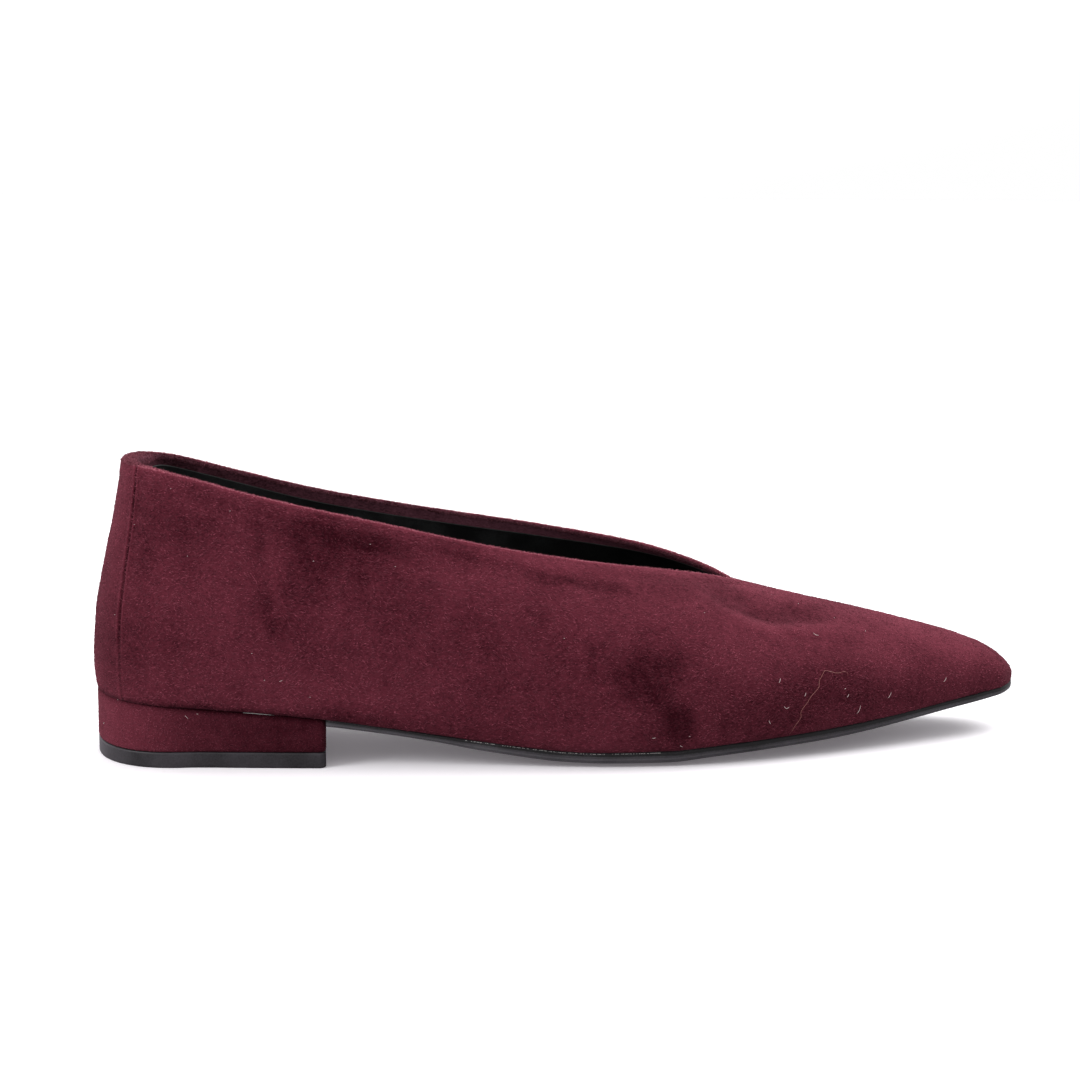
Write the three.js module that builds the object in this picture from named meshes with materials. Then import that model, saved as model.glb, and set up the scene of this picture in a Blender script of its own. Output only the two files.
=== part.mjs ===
import * as THREE from 'three';
import { mergeVertices } from 'three/addons/utils/BufferGeometryUtils.js';

// A woman's pointed flat with a V throat, for the right foot.
// The toe points along +X, the inner side of the foot is +Y, and the shoe stands on z = 0.
// All lengths are millimetres. Places along the shoe are measured from the back of the counter.

// Driving dimensions
const LENGTH = 261.2; // back of the counter to the tip of the toe
const HEEL_WIDTH = 57; // across the counter
const BALL_WIDTH = 76; // across the ball of the foot
const BACK_HEIGHT = 80; // topline above the floor at centre back
const THROAT_HEIGHT = 44; // point of the V above the floor
const VAMP_LENGTH = 82.4; // point of the V to the tip of the toe
const SEAT_HEIGHT = 18.4; // underside of the upper above the floor at centre back
const BACK_LEAN = 8.4; // how far the topline leans in over the counter at centre back
const BACK_LEAN_REACH = 66; // that lean dies out this far along the shoe
const HEEL_ROUND = 25; // length of the rounding of the counter in plan
const TOE_ROUND = 7; // length of the rounding of the toe in plan
const NOSE_LENGTH = 12.5; // length of the rounding of the toe seen from the side
const NOSE_LIP = 0.45; // upright part at the very tip of the toe, over the widest line

const WALL = 1.8; // suede, backing and lining together
const TOE_DEPTH = 4; // toe stiffener and folded margin at the very tip
const TOE_DEPTH_REACH = 26; // length of the toe stiffener
const MARGIN_WIDTH = 7; // lasting margin turned in under the foot
const MARGIN_REACH = 60; // the margin narrows over this length towards the tip
const RIM_BULGE = 0.4; // height of the rounded topline edge, as a share of the wall

const SOLE_THICKNESS = 2.6; // outsole at the ball
const SOLE_INSET = 0.3; // outsole edge inside the edge of the upper
const SOLE_UNDERCUT = 0.5; // bottom edge of the outsole inside its top edge
const TREAD_SHARE = 0.6; // flat share of the width of the tread

const HEEL_LENGTH = 62.5; // back of the upper to the breast of the heel
const HEEL_PROUD = 0.6; // how far the back of the heel stands out beyond its sides
const TOP_PIECE_THICKNESS = 4.2;
const INSOLE_THICKNESS = 2.4;
const INSOLE_TOE_THICKNESS = 1.2; // the insole is pared down over the toe stiffener's reach
const INSOLE_EASE = 0.5; // edge of the insole inside the wall
const GAP = 0.3; // between pieces that meet

const THROAT = LENGTH - VAMP_LENGTH;
const LATERAL = { name: 'lateral', sign: -1 };
const MEDIAL = { name: 'medial', sign: 1 };
const SIDES = [LATERAL, MEDIAL];

// Powers of the rounded ends: 2 is a quarter ellipse, more is fuller
const HEEL_ROUND_POWER = 2.2;
const TOE_ROUND_POWER = 2;
const SEAT_ROUND_POWER = 2;
const BACK_LEAN_POWER = 1.5;
const STEEPEST_WALL = 1.5; // the wall grows no more than this where the toe is steep
const SLOPE_STEP = 0.5; // step along the shoe over which a slope is taken
const NEAR_STEP = 0.1; // the same where the outline turns fast

// Plan of the last at its widest: a row for each section, at a share of the length,
// with half widths as shares of the width that the row follows.
const PLAN = [
  { at: 0.0, width: HEEL_WIDTH, lateral: 0.488, medial: 0.491 },
  { at: 0.1, width: HEEL_WIDTH, lateral: 0.491, medial: 0.498 },
  { at: 0.155, width: HEEL_WIDTH, lateral: 0.519, medial: 0.507 },
  { at: 0.24, width: HEEL_WIDTH, lateral: 0.558, medial: 0.503 },
  { at: 0.325, width: BALL_WIDTH, lateral: 0.439, medial: 0.38 },
  { at: 0.4, width: BALL_WIDTH, lateral: 0.461, medial: 0.397 },
  { at: 0.48, width: BALL_WIDTH, lateral: 0.491, medial: 0.437 },
  { at: 0.56, width: BALL_WIDTH, lateral: 0.512, medial: 0.475 },
  { at: 0.615, width: BALL_WIDTH, lateral: 0.506, medial: 0.492 },
  { at: 0.67, width: BALL_WIDTH, lateral: 0.478, medial: 0.487 },
  { at: 0.73, width: BALL_WIDTH, lateral: 0.428, medial: 0.453 },
  { at: 0.785, width: BALL_WIDTH, lateral: 0.371, medial: 0.403 },
  { at: 0.842, width: BALL_WIDTH, lateral: 0.301, medial: 0.332 },
  { at: 0.9, width: BALL_WIDTH, lateral: 0.229, medial: 0.254 },
  { at: 0.957, width: BALL_WIDTH, lateral: 0.153, medial: 0.17 },
  { at: 1.0, width: BALL_WIDTH, lateral: 0.083, medial: 0.093 },
];

// The toe swings to the inner side: the centre line's swing, as a share of the ball width.
const SWING = [
  { at: 0.0, swing: 0 },
  { at: 0.6, swing: 0 },
  { at: 0.8, swing: 0.012 },
  { at: 1.0, swing: 0.042 },
];

// Underside, along the length: rise of the tread as a share of the seat height, crown and
// sole as shares of the sole thickness.
const UNDERSIDE = [
  { at: 0.0, rise: 0.842, crown: 0.31, sole: 0.58 },
  { at: 0.1, rise: 0.745, crown: 0.35, sole: 0.58 },
  { at: 0.24, rise: 0.582, crown: 0.38, sole: 0.58 },
  { at: 0.31, rise: 0.44, crown: 0.42, sole: 0.48 },
  { at: 0.385, rise: 0.25, crown: 0.5, sole: 0.62 },
  { at: 0.45, rise: 0.1, crown: 0.56, sole: 0.77 },
  { at: 0.482, rise: 0.036, crown: 0.6, sole: 0.85 },
  { at: 0.52, rise: 0, crown: 0.62, sole: 0.94 },
  { at: 0.59, rise: 0, crown: 0.62, sole: 1.0 },
  { at: 0.632, rise: 0.06, crown: 0.56, sole: 0.95 },
  { at: 0.69, rise: 0.122, crown: 0.5, sole: 0.92 },
  { at: 0.766, rise: 0.202, crown: 0.38, sole: 0.92 },
  { at: 0.823, rise: 0.29, crown: 0.3, sole: 0.86 },
  { at: 0.88, rise: 0.405, crown: 0.22, sole: 0.77 },
  { at: 0.938, rise: 0.525, crown: 0.12, sole: 0.7 },
  { at: 1.0, rise: 0.64, crown: 0.04, sole: 0.62 },
];

// Roll of the upper under the foot, along the length: how far its edge tucks in, as a share
// of the ball width, and the height of the widest line over that edge, of the seat height.
const ROLL = [
  { at: 0.0, lateral: 0.015, medial: 0.015, belly: 0.57 },
  { at: 0.155, lateral: 0.024, medial: 0.026, belly: 0.62 },
  { at: 0.24, lateral: 0.024, medial: 0.04, belly: 0.68 },
  { at: 0.325, lateral: 0.029, medial: 0.055, belly: 0.76 },
  { at: 0.4, lateral: 0.031, medial: 0.053, belly: 0.76 },
  { at: 0.48, lateral: 0.032, medial: 0.042, belly: 0.7 },
  { at: 0.575, lateral: 0.032, medial: 0.032, belly: 0.65 },
  { at: 0.73, lateral: 0.027, medial: 0.027, belly: 0.54 },
  { at: 0.842, lateral: 0.021, medial: 0.021, belly: 0.41 },
  { at: 0.94, lateral: 0.013, medial: 0.013, belly: 0.22 },
  { at: 1.0, lateral: 0.009, medial: 0.009, belly: 0.1 },
];

// Topline, at a share of the way from centre back to the throat: the opening's half width as
// a share of the last's, and its height as a share of the height that the row follows.
const TOPLINE = [
  { at: 0.0, height: BACK_HEIGHT, lateralOut: 0.76, medialOut: 0.76, lateralUp: 0.997, medialUp: 0.997 },
  { at: 0.05, height: BACK_HEIGHT, lateralOut: 0.76, medialOut: 0.76, lateralUp: 0.992, medialUp: 0.989 },
  { at: 0.12, height: BACK_HEIGHT, lateralOut: 0.755, medialOut: 0.76, lateralUp: 0.965, medialUp: 0.961 },
  { at: 0.21, height: BACK_HEIGHT, lateralOut: 0.74, medialOut: 0.77, lateralUp: 0.917, medialUp: 0.916 },
  { at: 0.39, height: BACK_HEIGHT, lateralOut: 0.745, medialOut: 0.83, lateralUp: 0.833, medialUp: 0.826 },
  { at: 0.56, height: BACK_HEIGHT, lateralOut: 0.69, medialOut: 0.77, lateralUp: 0.748, medialUp: 0.764 },
  { at: 0.727, height: THROAT_HEIGHT, lateralOut: 0.535, medialOut: 0.6, lateralUp: 1.225, medialUp: 1.29 },
  { at: 0.867, height: THROAT_HEIGHT, lateralOut: 0.363, medialOut: 0.371, lateralUp: 1.136, medialUp: 1.193 },
  { at: 0.962, height: THROAT_HEIGHT, lateralOut: 0.168, medialOut: 0.172, lateralUp: 1.055, medialUp: 1.075 },
  { at: 0.99, height: THROAT_HEIGHT, lateralOut: 0.075, medialOut: 0.077, lateralUp: 1.016, medialUp: 1.02 },
  { at: 1.0, height: THROAT_HEIGHT, lateralOut: 0, medialOut: 0, lateralUp: 1, medialUp: 1 },
];

// Ridge of the vamp, at a share of the way from the throat to the tip of the toe.
const RIDGE = [
  { at: -0.1, up: 1.06 },
  { at: 0.0, up: 1.0 },
  { at: 0.125, up: 0.936 },
  { at: 0.26, up: 0.877 },
  { at: 0.415, up: 0.811 },
  { at: 0.54, up: 0.755 },
  { at: 0.67, up: 0.691 },
  { at: 0.77, up: 0.636 },
  { at: 0.864, up: 0.572 },
  { at: 1.0, up: 0.49 },
];

// Fullness of the arch over the widest line: 2 is an ellipse, less is flatter at the sides.
const ARCH = [
  { at: 0.0, power: 1.5 },
  { at: 0.4, power: 1.6 },
  { at: 0.68, power: 2.0 },
  { at: 1.0, power: 1.95 },
];

// Profile of centre back over the widest line: share of the lean at a share of the height.
const LEAN = [
  { at: 0.0, share: 0 },
  { at: 0.2, share: 0.09 },
  { at: 0.46, share: 0.4 },
  { at: 0.72, share: 0.735 },
  { at: 1.0, share: 1 },
];

// Steepness of a table's column between one row and the next
function secant(table, column, row) {
  const rise = table[row + 1][column] - table[row][column];
  return rise / (table[row + 1].at - table[row].at);
}

// Steepness at a row: the weighted harmonic mean of its two neighbours, level at a crest
function steepness(table, column, row) {
  const last = table.length - 1;
  if (row === 0) return secant(table, column, 0);
  if (row === last) return secant(table, column, last - 1);
  const before = secant(table, column, row - 1);
  const after = secant(table, column, row);
  if (before * after <= 0) return 0;
  const near = table[row].at - table[row - 1].at;
  const far = table[row + 1].at - table[row].at;
  const weightBefore = 2 * far + near;
  const weightAfter = far + 2 * near;
  return (weightBefore + weightAfter) / (weightBefore / before + weightAfter / after);
}

// Smooth curve through a table's rows that never overshoots them
function read(table, column, at) {
  const last = table.length - 1;
  if (at <= table[0].at) return table[0][column];
  if (at >= table[last].at) return table[last][column];
  let row = 0;
  while (table[row + 1].at < at) row += 1;
  const step = table[row + 1].at - table[row].at;
  const s = (at - table[row].at) / step;
  const start = table[row][column];
  const rise = table[row + 1][column] - start;
  const leave = steepness(table, column, row) * step;
  const arrive = steepness(table, column, row + 1) * step;
  const bow = leave * s * (1 - s) * (1 - s) - arrive * s * s * (1 - s);
  return start + rise * s * s * (3 - 2 * s) + bow;
}

function smoothStep(value) {
  const s = Math.min(1, Math.max(0, value));
  return s * s * (3 - 2 * s);
}

// Quarter of a superellipse: 0 at the end of the form, 1 from a full reach inwards
function roundOff(share, power) {
  if (share >= 1) return 1;
  return (1 - (1 - Math.max(0, share)) ** power) ** (1 / power);
}

// The tables in millimetres
const plan = PLAN.map((row) => ({
  at: row.at * LENGTH,
  lateral: row.lateral * row.width,
  medial: row.medial * row.width,
}));
const topline = TOPLINE.map((row) => ({
  at: row.at * THROAT,
  lateralUp: row.lateralUp * row.height,
  medialUp: row.medialUp * row.height,
}));

// Half width of the last at its widest
function halfWidth(side, x) {
  const heel = roundOff(x / HEEL_ROUND, HEEL_ROUND_POWER);
  const toe = roundOff((LENGTH - x) / TOE_ROUND, TOE_ROUND_POWER);
  return read(plan, side.name, x) * heel * toe;
}

function centreLine(x) {
  return read(SWING, 'swing', x / LENGTH) * BALL_WIDTH;
}

// Point of the outline moved inwards at right angles to it
function outlinePoint(side, x, inset) {
  if (x <= 0) return { x: inset, y: centreLine(0) };
  if (x >= LENGTH) return { x: LENGTH - inset, y: centreLine(LENGTH) };
  const across = (place) => centreLine(place) + side.sign * halfWidth(side, place);
  const reach = Math.min(NEAR_STEP / 2, x / 2, (LENGTH - x) / 2);
  const slope = (across(x + reach) - across(x - reach)) / (2 * reach);
  const long = Math.hypot(1, slope);
  const outwardX = (-side.sign * slope) / long;
  const outwardY = side.sign / long;
  return { x: x - inset * outwardX, y: across(x) - inset * outwardY };
}

// Heights of the underside
function crown(x) {
  return read(UNDERSIDE, 'crown', x / LENGTH) * SOLE_THICKNESS;
}

function soleThickness(x) {
  return read(UNDERSIDE, 'sole', x / LENGTH) * SOLE_THICKNESS;
}

function treadHeight(x) {
  return read(UNDERSIDE, 'rise', x / LENGTH) * SEAT_HEIGHT;
}

// Lower edge of the upper
function featherHeight(x) {
  return treadHeight(x) + soleThickness(x) + GAP + crown(x);
}

// The underside curls up from its flat middle to its edges, where across is -1 or 1,
// and to the back of the seat
function undersideHeight(x, across) {
  const curl = Math.max(0, Math.abs(across) - TREAD_SHARE) / (1 - TREAD_SHARE);
  return featherHeight(x) - crown(x) * roundOff(x / HEEL_ROUND, SEAT_ROUND_POWER) * (1 - curl * curl);
}

function rollInset(side, x) {
  return read(ROLL, side.name, x / LENGTH) * BALL_WIDTH;
}

function widestHeight(x) {
  return featherHeight(x) + read(ROLL, 'belly', x / LENGTH) * SEAT_HEIGHT;
}

// Ridge of the vamp, rounded down to the tip of the toe
function ridgeHeight(x) {
  const ridge = read(RIDGE, 'up', (x - THROAT) / VAMP_LENGTH) * THROAT_HEIGHT;
  const tip = widestHeight(LENGTH) + NOSE_LIP;
  const nose = roundOff((LENGTH - x) / NOSE_LENGTH, TOE_ROUND_POWER);
  return tip + (ridge - tip) * nose;
}

function ridgeSlope(x) {
  return (ridgeHeight(x + SLOPE_STEP / 2) - ridgeHeight(x - SLOPE_STEP / 2)) / SLOPE_STEP;
}

// The wall is an arch over the widest line, cut off at the topline
function archAt(side, x) {
  const power = read(ARCH, 'power', x / LENGTH);
  const open = x < THROAT ? read(TOPLINE, side.name + 'Out', x / THROAT) : 0;
  const reached = Math.sqrt(1 - open ** power);
  const top = x < THROAT ? read(topline, side.name + 'Up', x) : ridgeHeight(x);
  return { power, open, reached, top, turn: Math.asin(reached) };
}

// Share of the toe stiffener's full depth: 0 behind it, 1 at the tip of the toe
function stiffened(x) {
  return smoothStep(1 - (LENGTH - x) / TOE_DEPTH_REACH);
}

// Thickness of the wall in plan, which grows at the tip of the toe
function planDepth(x, depth) {
  return depth + (depth / WALL) * (TOE_DEPTH - WALL) * stiffened(x);
}

// The topline leans in over the counter
function leanAt(x, share) {
  const fade = Math.max(0, 1 - x / BACK_LEAN_REACH) ** BACK_LEAN_POWER;
  return BACK_LEAN * fade * read(LEAN, 'share', share);
}

// Point of the quarter turn between the lower edge (turn 0) and the widest line (turn 1)
function rollPoint(side, x, depth, turn) {
  const angle = (turn * Math.PI) / 2;
  const planInset = planDepth(x, depth);
  const tuck = Math.max(rollInset(side, x), planInset);
  const point = outlinePoint(side, x, planInset + (tuck - planInset) * (1 - Math.sin(angle)));
  const low = featherHeight(point.x) + depth;
  const z = low + (widestHeight(point.x) - low) * (1 - Math.cos(angle));
  return new THREE.Vector3(point.x, point.y, z);
}

// Point of the arch between the widest line (share 0) and the topline or ridge (share 1)
function archPoint(side, x, depth, share) {
  const arch = archAt(side, x);
  const angle = share * arch.turn;
  const widest = outlinePoint(side, x, planDepth(x, depth));
  const out = (widest.y - centreLine(widest.x)) * Math.cos(angle) ** (2 / arch.power);
  const inPlan = planDepth(x, depth);
  const ridgeShift = depth * Math.abs(Math.sin(Math.atan(ridgeSlope(x))));
  const tipShift = (inPlan - depth) * stiffened(x);
  const ridgeX = x - Math.min(inPlan, ridgeShift + tipShift);
  const closed = Math.sin(angle) ** 2 * (1 - arch.open) ** 2;
  const px = widest.x + (ridgeX - widest.x) * closed;
  const foot = widestHeight(widest.x);
  const top = x < THROAT ? arch.top : ridgeHeight(px);
  const steep = Math.min(STEEPEST_WALL, Math.hypot(1, ridgeSlope(px)));
  const thick = x < THROAT ? depth : depth * steep;
  const height = (top - foot) / arch.reached - thick;
  const z = foot + height * Math.sin(angle);
  const lean = leanAt(x, (z - foot) / (arch.top - foot));
  return new THREE.Vector3(px + lean, centreLine(px) + out, z);
}

// Places along the shoe: close together round the heel, at the throat and round the toe
function stations() {
  const heelSteps = 7;
  const quarterSteps = 20;
  const vampSteps = 9;
  const toeSteps = 5;
  const towardsThroat = 1.4; // more crowds the quarter's places towards the throat
  const places = [];
  for (let i = 0; i < heelSteps; i += 1) {
    places.push(HEEL_ROUND * (1 - Math.cos((i / heelSteps) * (Math.PI / 2))));
  }
  for (let i = 0; i < quarterSteps; i += 1) {
    const share = 1 - (1 - i / quarterSteps) ** towardsThroat;
    places.push(HEEL_ROUND + (THROAT - HEEL_ROUND) * share);
  }
  for (let i = 0; i < vampSteps; i += 1) {
    places.push(THROAT + (VAMP_LENGTH - TOE_ROUND) * (i / vampSteps));
  }
  for (let i = 0; i <= toeSteps; i += 1) {
    places.push(LENGTH - TOE_ROUND * (1 - Math.sin((i / toeSteps) * (Math.PI / 2))));
  }
  return places;
}

const MERGE_DISTANCE = 1e-3;

// Closed mesh from a list of triangles given by their corner points
function solidFrom(corners) {
  const geometry = new THREE.BufferGeometry();
  const flat = corners.flatMap((corner) => [corner.x, corner.y, corner.z]);
  geometry.setAttribute('position', new THREE.Float32BufferAttribute(flat, 3));
  const merged = mergeVertices(geometry, MERGE_DISTANCE);
  const index = Array.from(merged.index.array);
  const kept = [];
  for (let i = 0; i < index.length; i += 3) {
    const [a, b, c] = index.slice(i, i + 3);
    if (a !== b && b !== c && c !== a) kept.push(a, b, c);
  }
  merged.setIndex(kept);
  return merged;
}

// Two triangles between four corners
function pushQuad(corners, a, b, c, d) {
  corners.push(a, b, c, a, c, d);
}

// Profile of the upper at one place: up the outside, over the topline and down the inside
function upperProfile(side, x) {
  const marginSteps = 3;
  const rollSteps = 3;
  const archSteps = 8;
  const roll = rollInset(side, x);
  const tuck = Math.max(roll, planDepth(x, WALL));
  const margin = MARGIN_WIDTH * smoothStep((LENGTH - x) / MARGIN_REACH);
  const marginPoint = (depth, share) => {
    const start = depth > 0 ? tuck : roll;
    const inset = tuck + margin + (start - tuck - margin) * share;
    const point = outlinePoint(side, x, inset);
    const reached = Math.abs(point.y - centreLine(point.x));
    const across = Math.min(1, reached / Math.max(1, halfWidth(side, point.x) - roll));
    return new THREE.Vector3(point.x, point.y, undersideHeight(point.x, across) + depth);
  };
  const skin = (depth) => {
    const points = [];
    for (let i = 0; i < marginSteps; i += 1) points.push(marginPoint(depth, i / marginSteps));
    for (let i = 0; i < rollSteps; i += 1) points.push(rollPoint(side, x, depth, i / rollSteps));
    for (let i = 0; i <= archSteps; i += 1) points.push(archPoint(side, x, depth, i / archSteps));
    return points;
  };
  return { x, outer: skin(0), inner: skin(WALL), rim: [] };
}

// Rounded edge of the topline, raised in the direction that lies in the wall
function addRim(profile, direction) {
  const steps = 4;
  const outer = profile.outer.at(-1);
  const inner = profile.inner.at(-1);
  const middle = outer.clone().add(inner).multiplyScalar(0.5);
  const radius = outer.clone().sub(middle);
  for (let i = 1; i < steps; i += 1) {
    const angle = (i / steps) * Math.PI;
    const point = middle.clone().addScaledVector(radius, Math.cos(angle));
    profile.rim.push(point.addScaledVector(direction, WALL * RIM_BULGE * Math.sin(angle)));
  }
}

// Hollow suede upper: profiles carried round the last, from the toe along the outer side,
// round the heel and back along the inner side
function upperGeometry() {
  const places = stations();
  const outerSide = places.slice().reverse().map((x) => upperProfile(LATERAL, x));
  const innerSide = places.slice(1, -1).map((x) => upperProfile(MEDIAL, x));
  const profiles = outerSide.concat(innerSide);
  const count = profiles.length;
  const isOpen = (profile) => profile.x <= THROAT;
  profiles.forEach((profile, i) => {
    if (!isOpen(profile)) return;
    const before = profiles[(i + count - 1) % count];
    const after = profiles[(i + 1) % count];
    const run = after.outer.at(-1).clone().sub(before.outer.at(-1));
    const through = profile.outer.at(-1).clone().sub(profile.inner.at(-1));
    const atThroat = profile.x === THROAT;
    const direction = atThroat ? new THREE.Vector3(-1, 0, 0) : run.cross(through);
    addRim(profile, direction.normalize());
  });
  const corners = [];
  for (let i = 0; i < count; i += 1) {
    const a = profiles[(i + 1) % count];
    const b = profiles[i];
    const top = a.outer.length - 1;
    for (let j = 0; j < top; j += 1) {
      pushQuad(corners, a.outer[j], b.outer[j], b.outer[j + 1], a.outer[j + 1]);
      pushQuad(corners, a.inner[j + 1], b.inner[j + 1], b.inner[j], a.inner[j]);
    }
    pushQuad(corners, a.inner[0], b.inner[0], b.outer[0], a.outer[0]);
    if (!isOpen(a) || !isOpen(b)) continue;
    const rimA = [a.outer[top], ...a.rim, a.inner[top]];
    const rimB = [b.outer[top], ...b.rim, b.inner[top]];
    for (let j = 0; j < rimA.length - 1; j += 1) {
      pushQuad(corners, rimA[j], rimB[j], rimB[j + 1], rimA[j + 1]);
    }
  }
  return solidFrom(corners);
}

// Slab between two outlines: rows along the shoe, columns from the outer to the inner side.
// The inset and the height of a point may differ between the slab's top and bottom.
const ACROSS = [-1, -0.87, -0.74, -0.6, 0, 0.6, 0.74, 0.87, 1];

function slabGeometry(places, insetAt, heightAt) {
  const layer = (level) => places.map((x) => {
    const [outer, inner] = SIDES.map((side) => outlinePoint(side, x, insetAt(side, x, level)));
    const isTip = x <= 0 || x >= LENGTH;
    return ACROSS.map((across) => {
      const share = (across + 1) / 2;
      const px = outer.x + (inner.x - outer.x) * share;
      const py = outer.y + (inner.y - outer.y) * share;
      return new THREE.Vector3(px, py, heightAt(px, isTip ? 1 : across, level));
    });
  });
  const top = layer('top');
  const bottom = layer('bottom');
  const corners = [];
  const last = places.length - 1;
  const right = ACROSS.length - 1;
  for (let i = 0; i < last; i += 1) {
    for (let j = 0; j < right; j += 1) {
      pushQuad(corners, top[i][j], top[i + 1][j], top[i + 1][j + 1], top[i][j + 1]);
      pushQuad(corners, bottom[i][j + 1], bottom[i + 1][j + 1], bottom[i + 1][j], bottom[i][j]);
    }
    pushQuad(corners, bottom[i][0], bottom[i + 1][0], top[i + 1][0], top[i][0]);
    pushQuad(corners, top[i][right], top[i + 1][right], bottom[i + 1][right], bottom[i][right]);
  }
  for (let j = 0; j < right; j += 1) {
    pushQuad(corners, top[0][j], top[0][j + 1], bottom[0][j + 1], bottom[0][j]);
    pushQuad(corners, bottom[last][j], bottom[last][j + 1], top[last][j + 1], top[last][j]);
  }
  return solidFrom(corners);
}

// Insole on the lasting margin, inside the wall
function insoleGeometry() {
  const inset = (side, x) => Math.max(rollInset(side, x), planDepth(x, WALL)) + INSOLE_EASE;
  const thickness = (x) => {
    return INSOLE_THICKNESS + (INSOLE_TOE_THICKNESS - INSOLE_THICKNESS) * stiffened(x);
  };
  const height = (x, across, level) => {
    const bottom = undersideHeight(x, across) + WALL + GAP;
    return level === 'top' ? bottom + thickness(x) : bottom;
  };
  return slabGeometry(stations(), inset, height);
}

const SHORTEST_STEP = 2; // between a breast and the next place along the shoe

// Outsole from the breast of the heel to the toe
function outsoleGeometry() {
  const start = HEEL_LENGTH + GAP;
  const places = [start, ...stations().filter((x) => x > start + SHORTEST_STEP)];
  const inset = (side, x, level) => {
    const edge = rollInset(side, x) + SOLE_INSET;
    return level === 'top' ? edge : edge + SOLE_UNDERCUT;
  };
  const height = (x, across, level) => {
    const top = undersideHeight(x, across) - GAP;
    return level === 'top' ? top : top - soleThickness(x);
  };
  return slabGeometry(places, inset, height);
}

// Places from centre back to the breast of the heel
function heelPlaces() {
  return [...stations().filter((x) => x < HEEL_LENGTH - SHORTEST_STEP), HEEL_LENGTH];
}

// Heel outline under the edge of the upper, standing out a little at the back
function heelInset(side, x) {
  const back = Math.max(0, 1 - x / HEEL_ROUND);
  return rollInset(side, x) + SOLE_INSET - HEEL_PROUD * back;
}

// Covered heel block under the seat
function heelBlockGeometry() {
  const bottomHeight = TOP_PIECE_THICKNESS + GAP;
  const height = (x, across, level) => {
    return level === 'top' ? undersideHeight(x, across) - GAP : bottomHeight;
  };
  return slabGeometry(heelPlaces(), heelInset, height);
}

// Rubber top piece that the heel stands on
function topPieceGeometry() {
  const height = (x, across, level) => (level === 'top' ? TOP_PIECE_THICKNESS : 0);
  return slabGeometry(heelPlaces(), heelInset, height);
}

// Finishes
const suede = { color: 0x5a2230, roughness: 0.95, metalness: 0 };
const sock = { color: 0x17171a, roughness: 0.5, metalness: 0 };
const soleRubber = { color: 0x1d1d20, roughness: 0.6, metalness: 0 };
const heelRubber = { color: 0x2b2a2d, roughness: 0.55, metalness: 0 };

function piece(name, geometry, finish) {
  const mesh = new THREE.Mesh(geometry, new THREE.MeshStandardMaterial(finish));
  mesh.name = name;
  return mesh;
}

const shoe = new THREE.Group();
shoe.add(piece('upper', upperGeometry(), suede));
shoe.add(piece('insole', insoleGeometry(), sock));
shoe.add(piece('outsole', outsoleGeometry(), soleRubber));
shoe.add(piece('heel_block', heelBlockGeometry(), suede));
shoe.add(piece('heel_top_piece', topPieceGeometry(), heelRubber));

// The origin is on the floor under the middle of the shoe
const box = new THREE.Box3().setFromObject(shoe);
const middle = box.getCenter(new THREE.Vector3());
shoe.position.set(-middle.x, -middle.y, -box.min.z);

export default shoe;
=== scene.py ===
import bmesh
import bpy
import numpy as np
from mathutils import Matrix, Vector


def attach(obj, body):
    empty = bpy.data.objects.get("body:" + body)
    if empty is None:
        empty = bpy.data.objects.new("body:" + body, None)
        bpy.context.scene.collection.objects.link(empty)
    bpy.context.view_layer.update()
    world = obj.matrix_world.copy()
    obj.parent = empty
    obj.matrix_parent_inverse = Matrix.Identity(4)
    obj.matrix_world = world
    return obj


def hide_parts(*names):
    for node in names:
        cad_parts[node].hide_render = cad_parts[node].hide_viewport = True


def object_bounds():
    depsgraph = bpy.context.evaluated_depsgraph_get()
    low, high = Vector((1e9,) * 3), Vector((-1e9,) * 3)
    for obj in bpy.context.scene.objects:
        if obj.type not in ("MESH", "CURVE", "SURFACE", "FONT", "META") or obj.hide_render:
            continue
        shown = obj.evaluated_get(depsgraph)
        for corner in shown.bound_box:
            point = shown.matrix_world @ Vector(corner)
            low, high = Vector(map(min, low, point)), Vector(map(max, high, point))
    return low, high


# A pointed burgundy suede flat for the right foot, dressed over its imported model.
# Shapes are worked out in millimetres in the shoe's own axes: X from the back of the counter
# to the toe, Y towards the inner side of the foot, Z up from the floor.
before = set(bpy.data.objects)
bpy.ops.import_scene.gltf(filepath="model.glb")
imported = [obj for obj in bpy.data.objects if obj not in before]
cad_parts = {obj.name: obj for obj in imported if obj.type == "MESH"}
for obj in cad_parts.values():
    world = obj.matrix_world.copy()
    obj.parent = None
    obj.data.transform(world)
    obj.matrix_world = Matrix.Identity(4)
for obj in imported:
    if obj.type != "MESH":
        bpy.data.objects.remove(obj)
CAD_BOX = [list(corner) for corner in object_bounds()]
SEED = 11
random = np.random.default_rng(SEED)


def table(names, rows):
    """A short table: its named columns as arrays."""
    return dict(zip(names.split(), np.array(rows, float).T))


# Sizes of the last and of the pieces on it
LENGTH = 261.2
HEEL_WIDTH = 57
BALL_WIDTH = 76
BACK_HEIGHT = 80
THROAT_HEIGHT = 44
VAMP_LENGTH = 82.4
SEAT_HEIGHT = 18.4
BACK_LEAN = 8.4
BACK_LEAN_REACH = 66
HEEL_ROUND = 25
HEEL_ROUND_POWER = 2.2
TOE_ROUND = 7
NOSE_LENGTH = 12.5
NOSE_LIP = 0.1
WALL = 1.8
TOE_DEPTH = 4
TOE_DEPTH_REACH = 26
MARGIN_WIDTH = 7
MARGIN_REACH = 60
SOLE_THICKNESS = 2.6
SOLE_INSET = 0.3
TREAD_SHARE = 0.6
HEEL_LENGTH = 62.5
HEEL_PROUD = 0.6
TOP_PIECE_THICKNESS = 4.2
INSOLE_THICKNESS = 2.4
INSOLE_TOE_THICKNESS = 1.2
INSOLE_EASE = 0.5
GAP = 0.3
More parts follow.
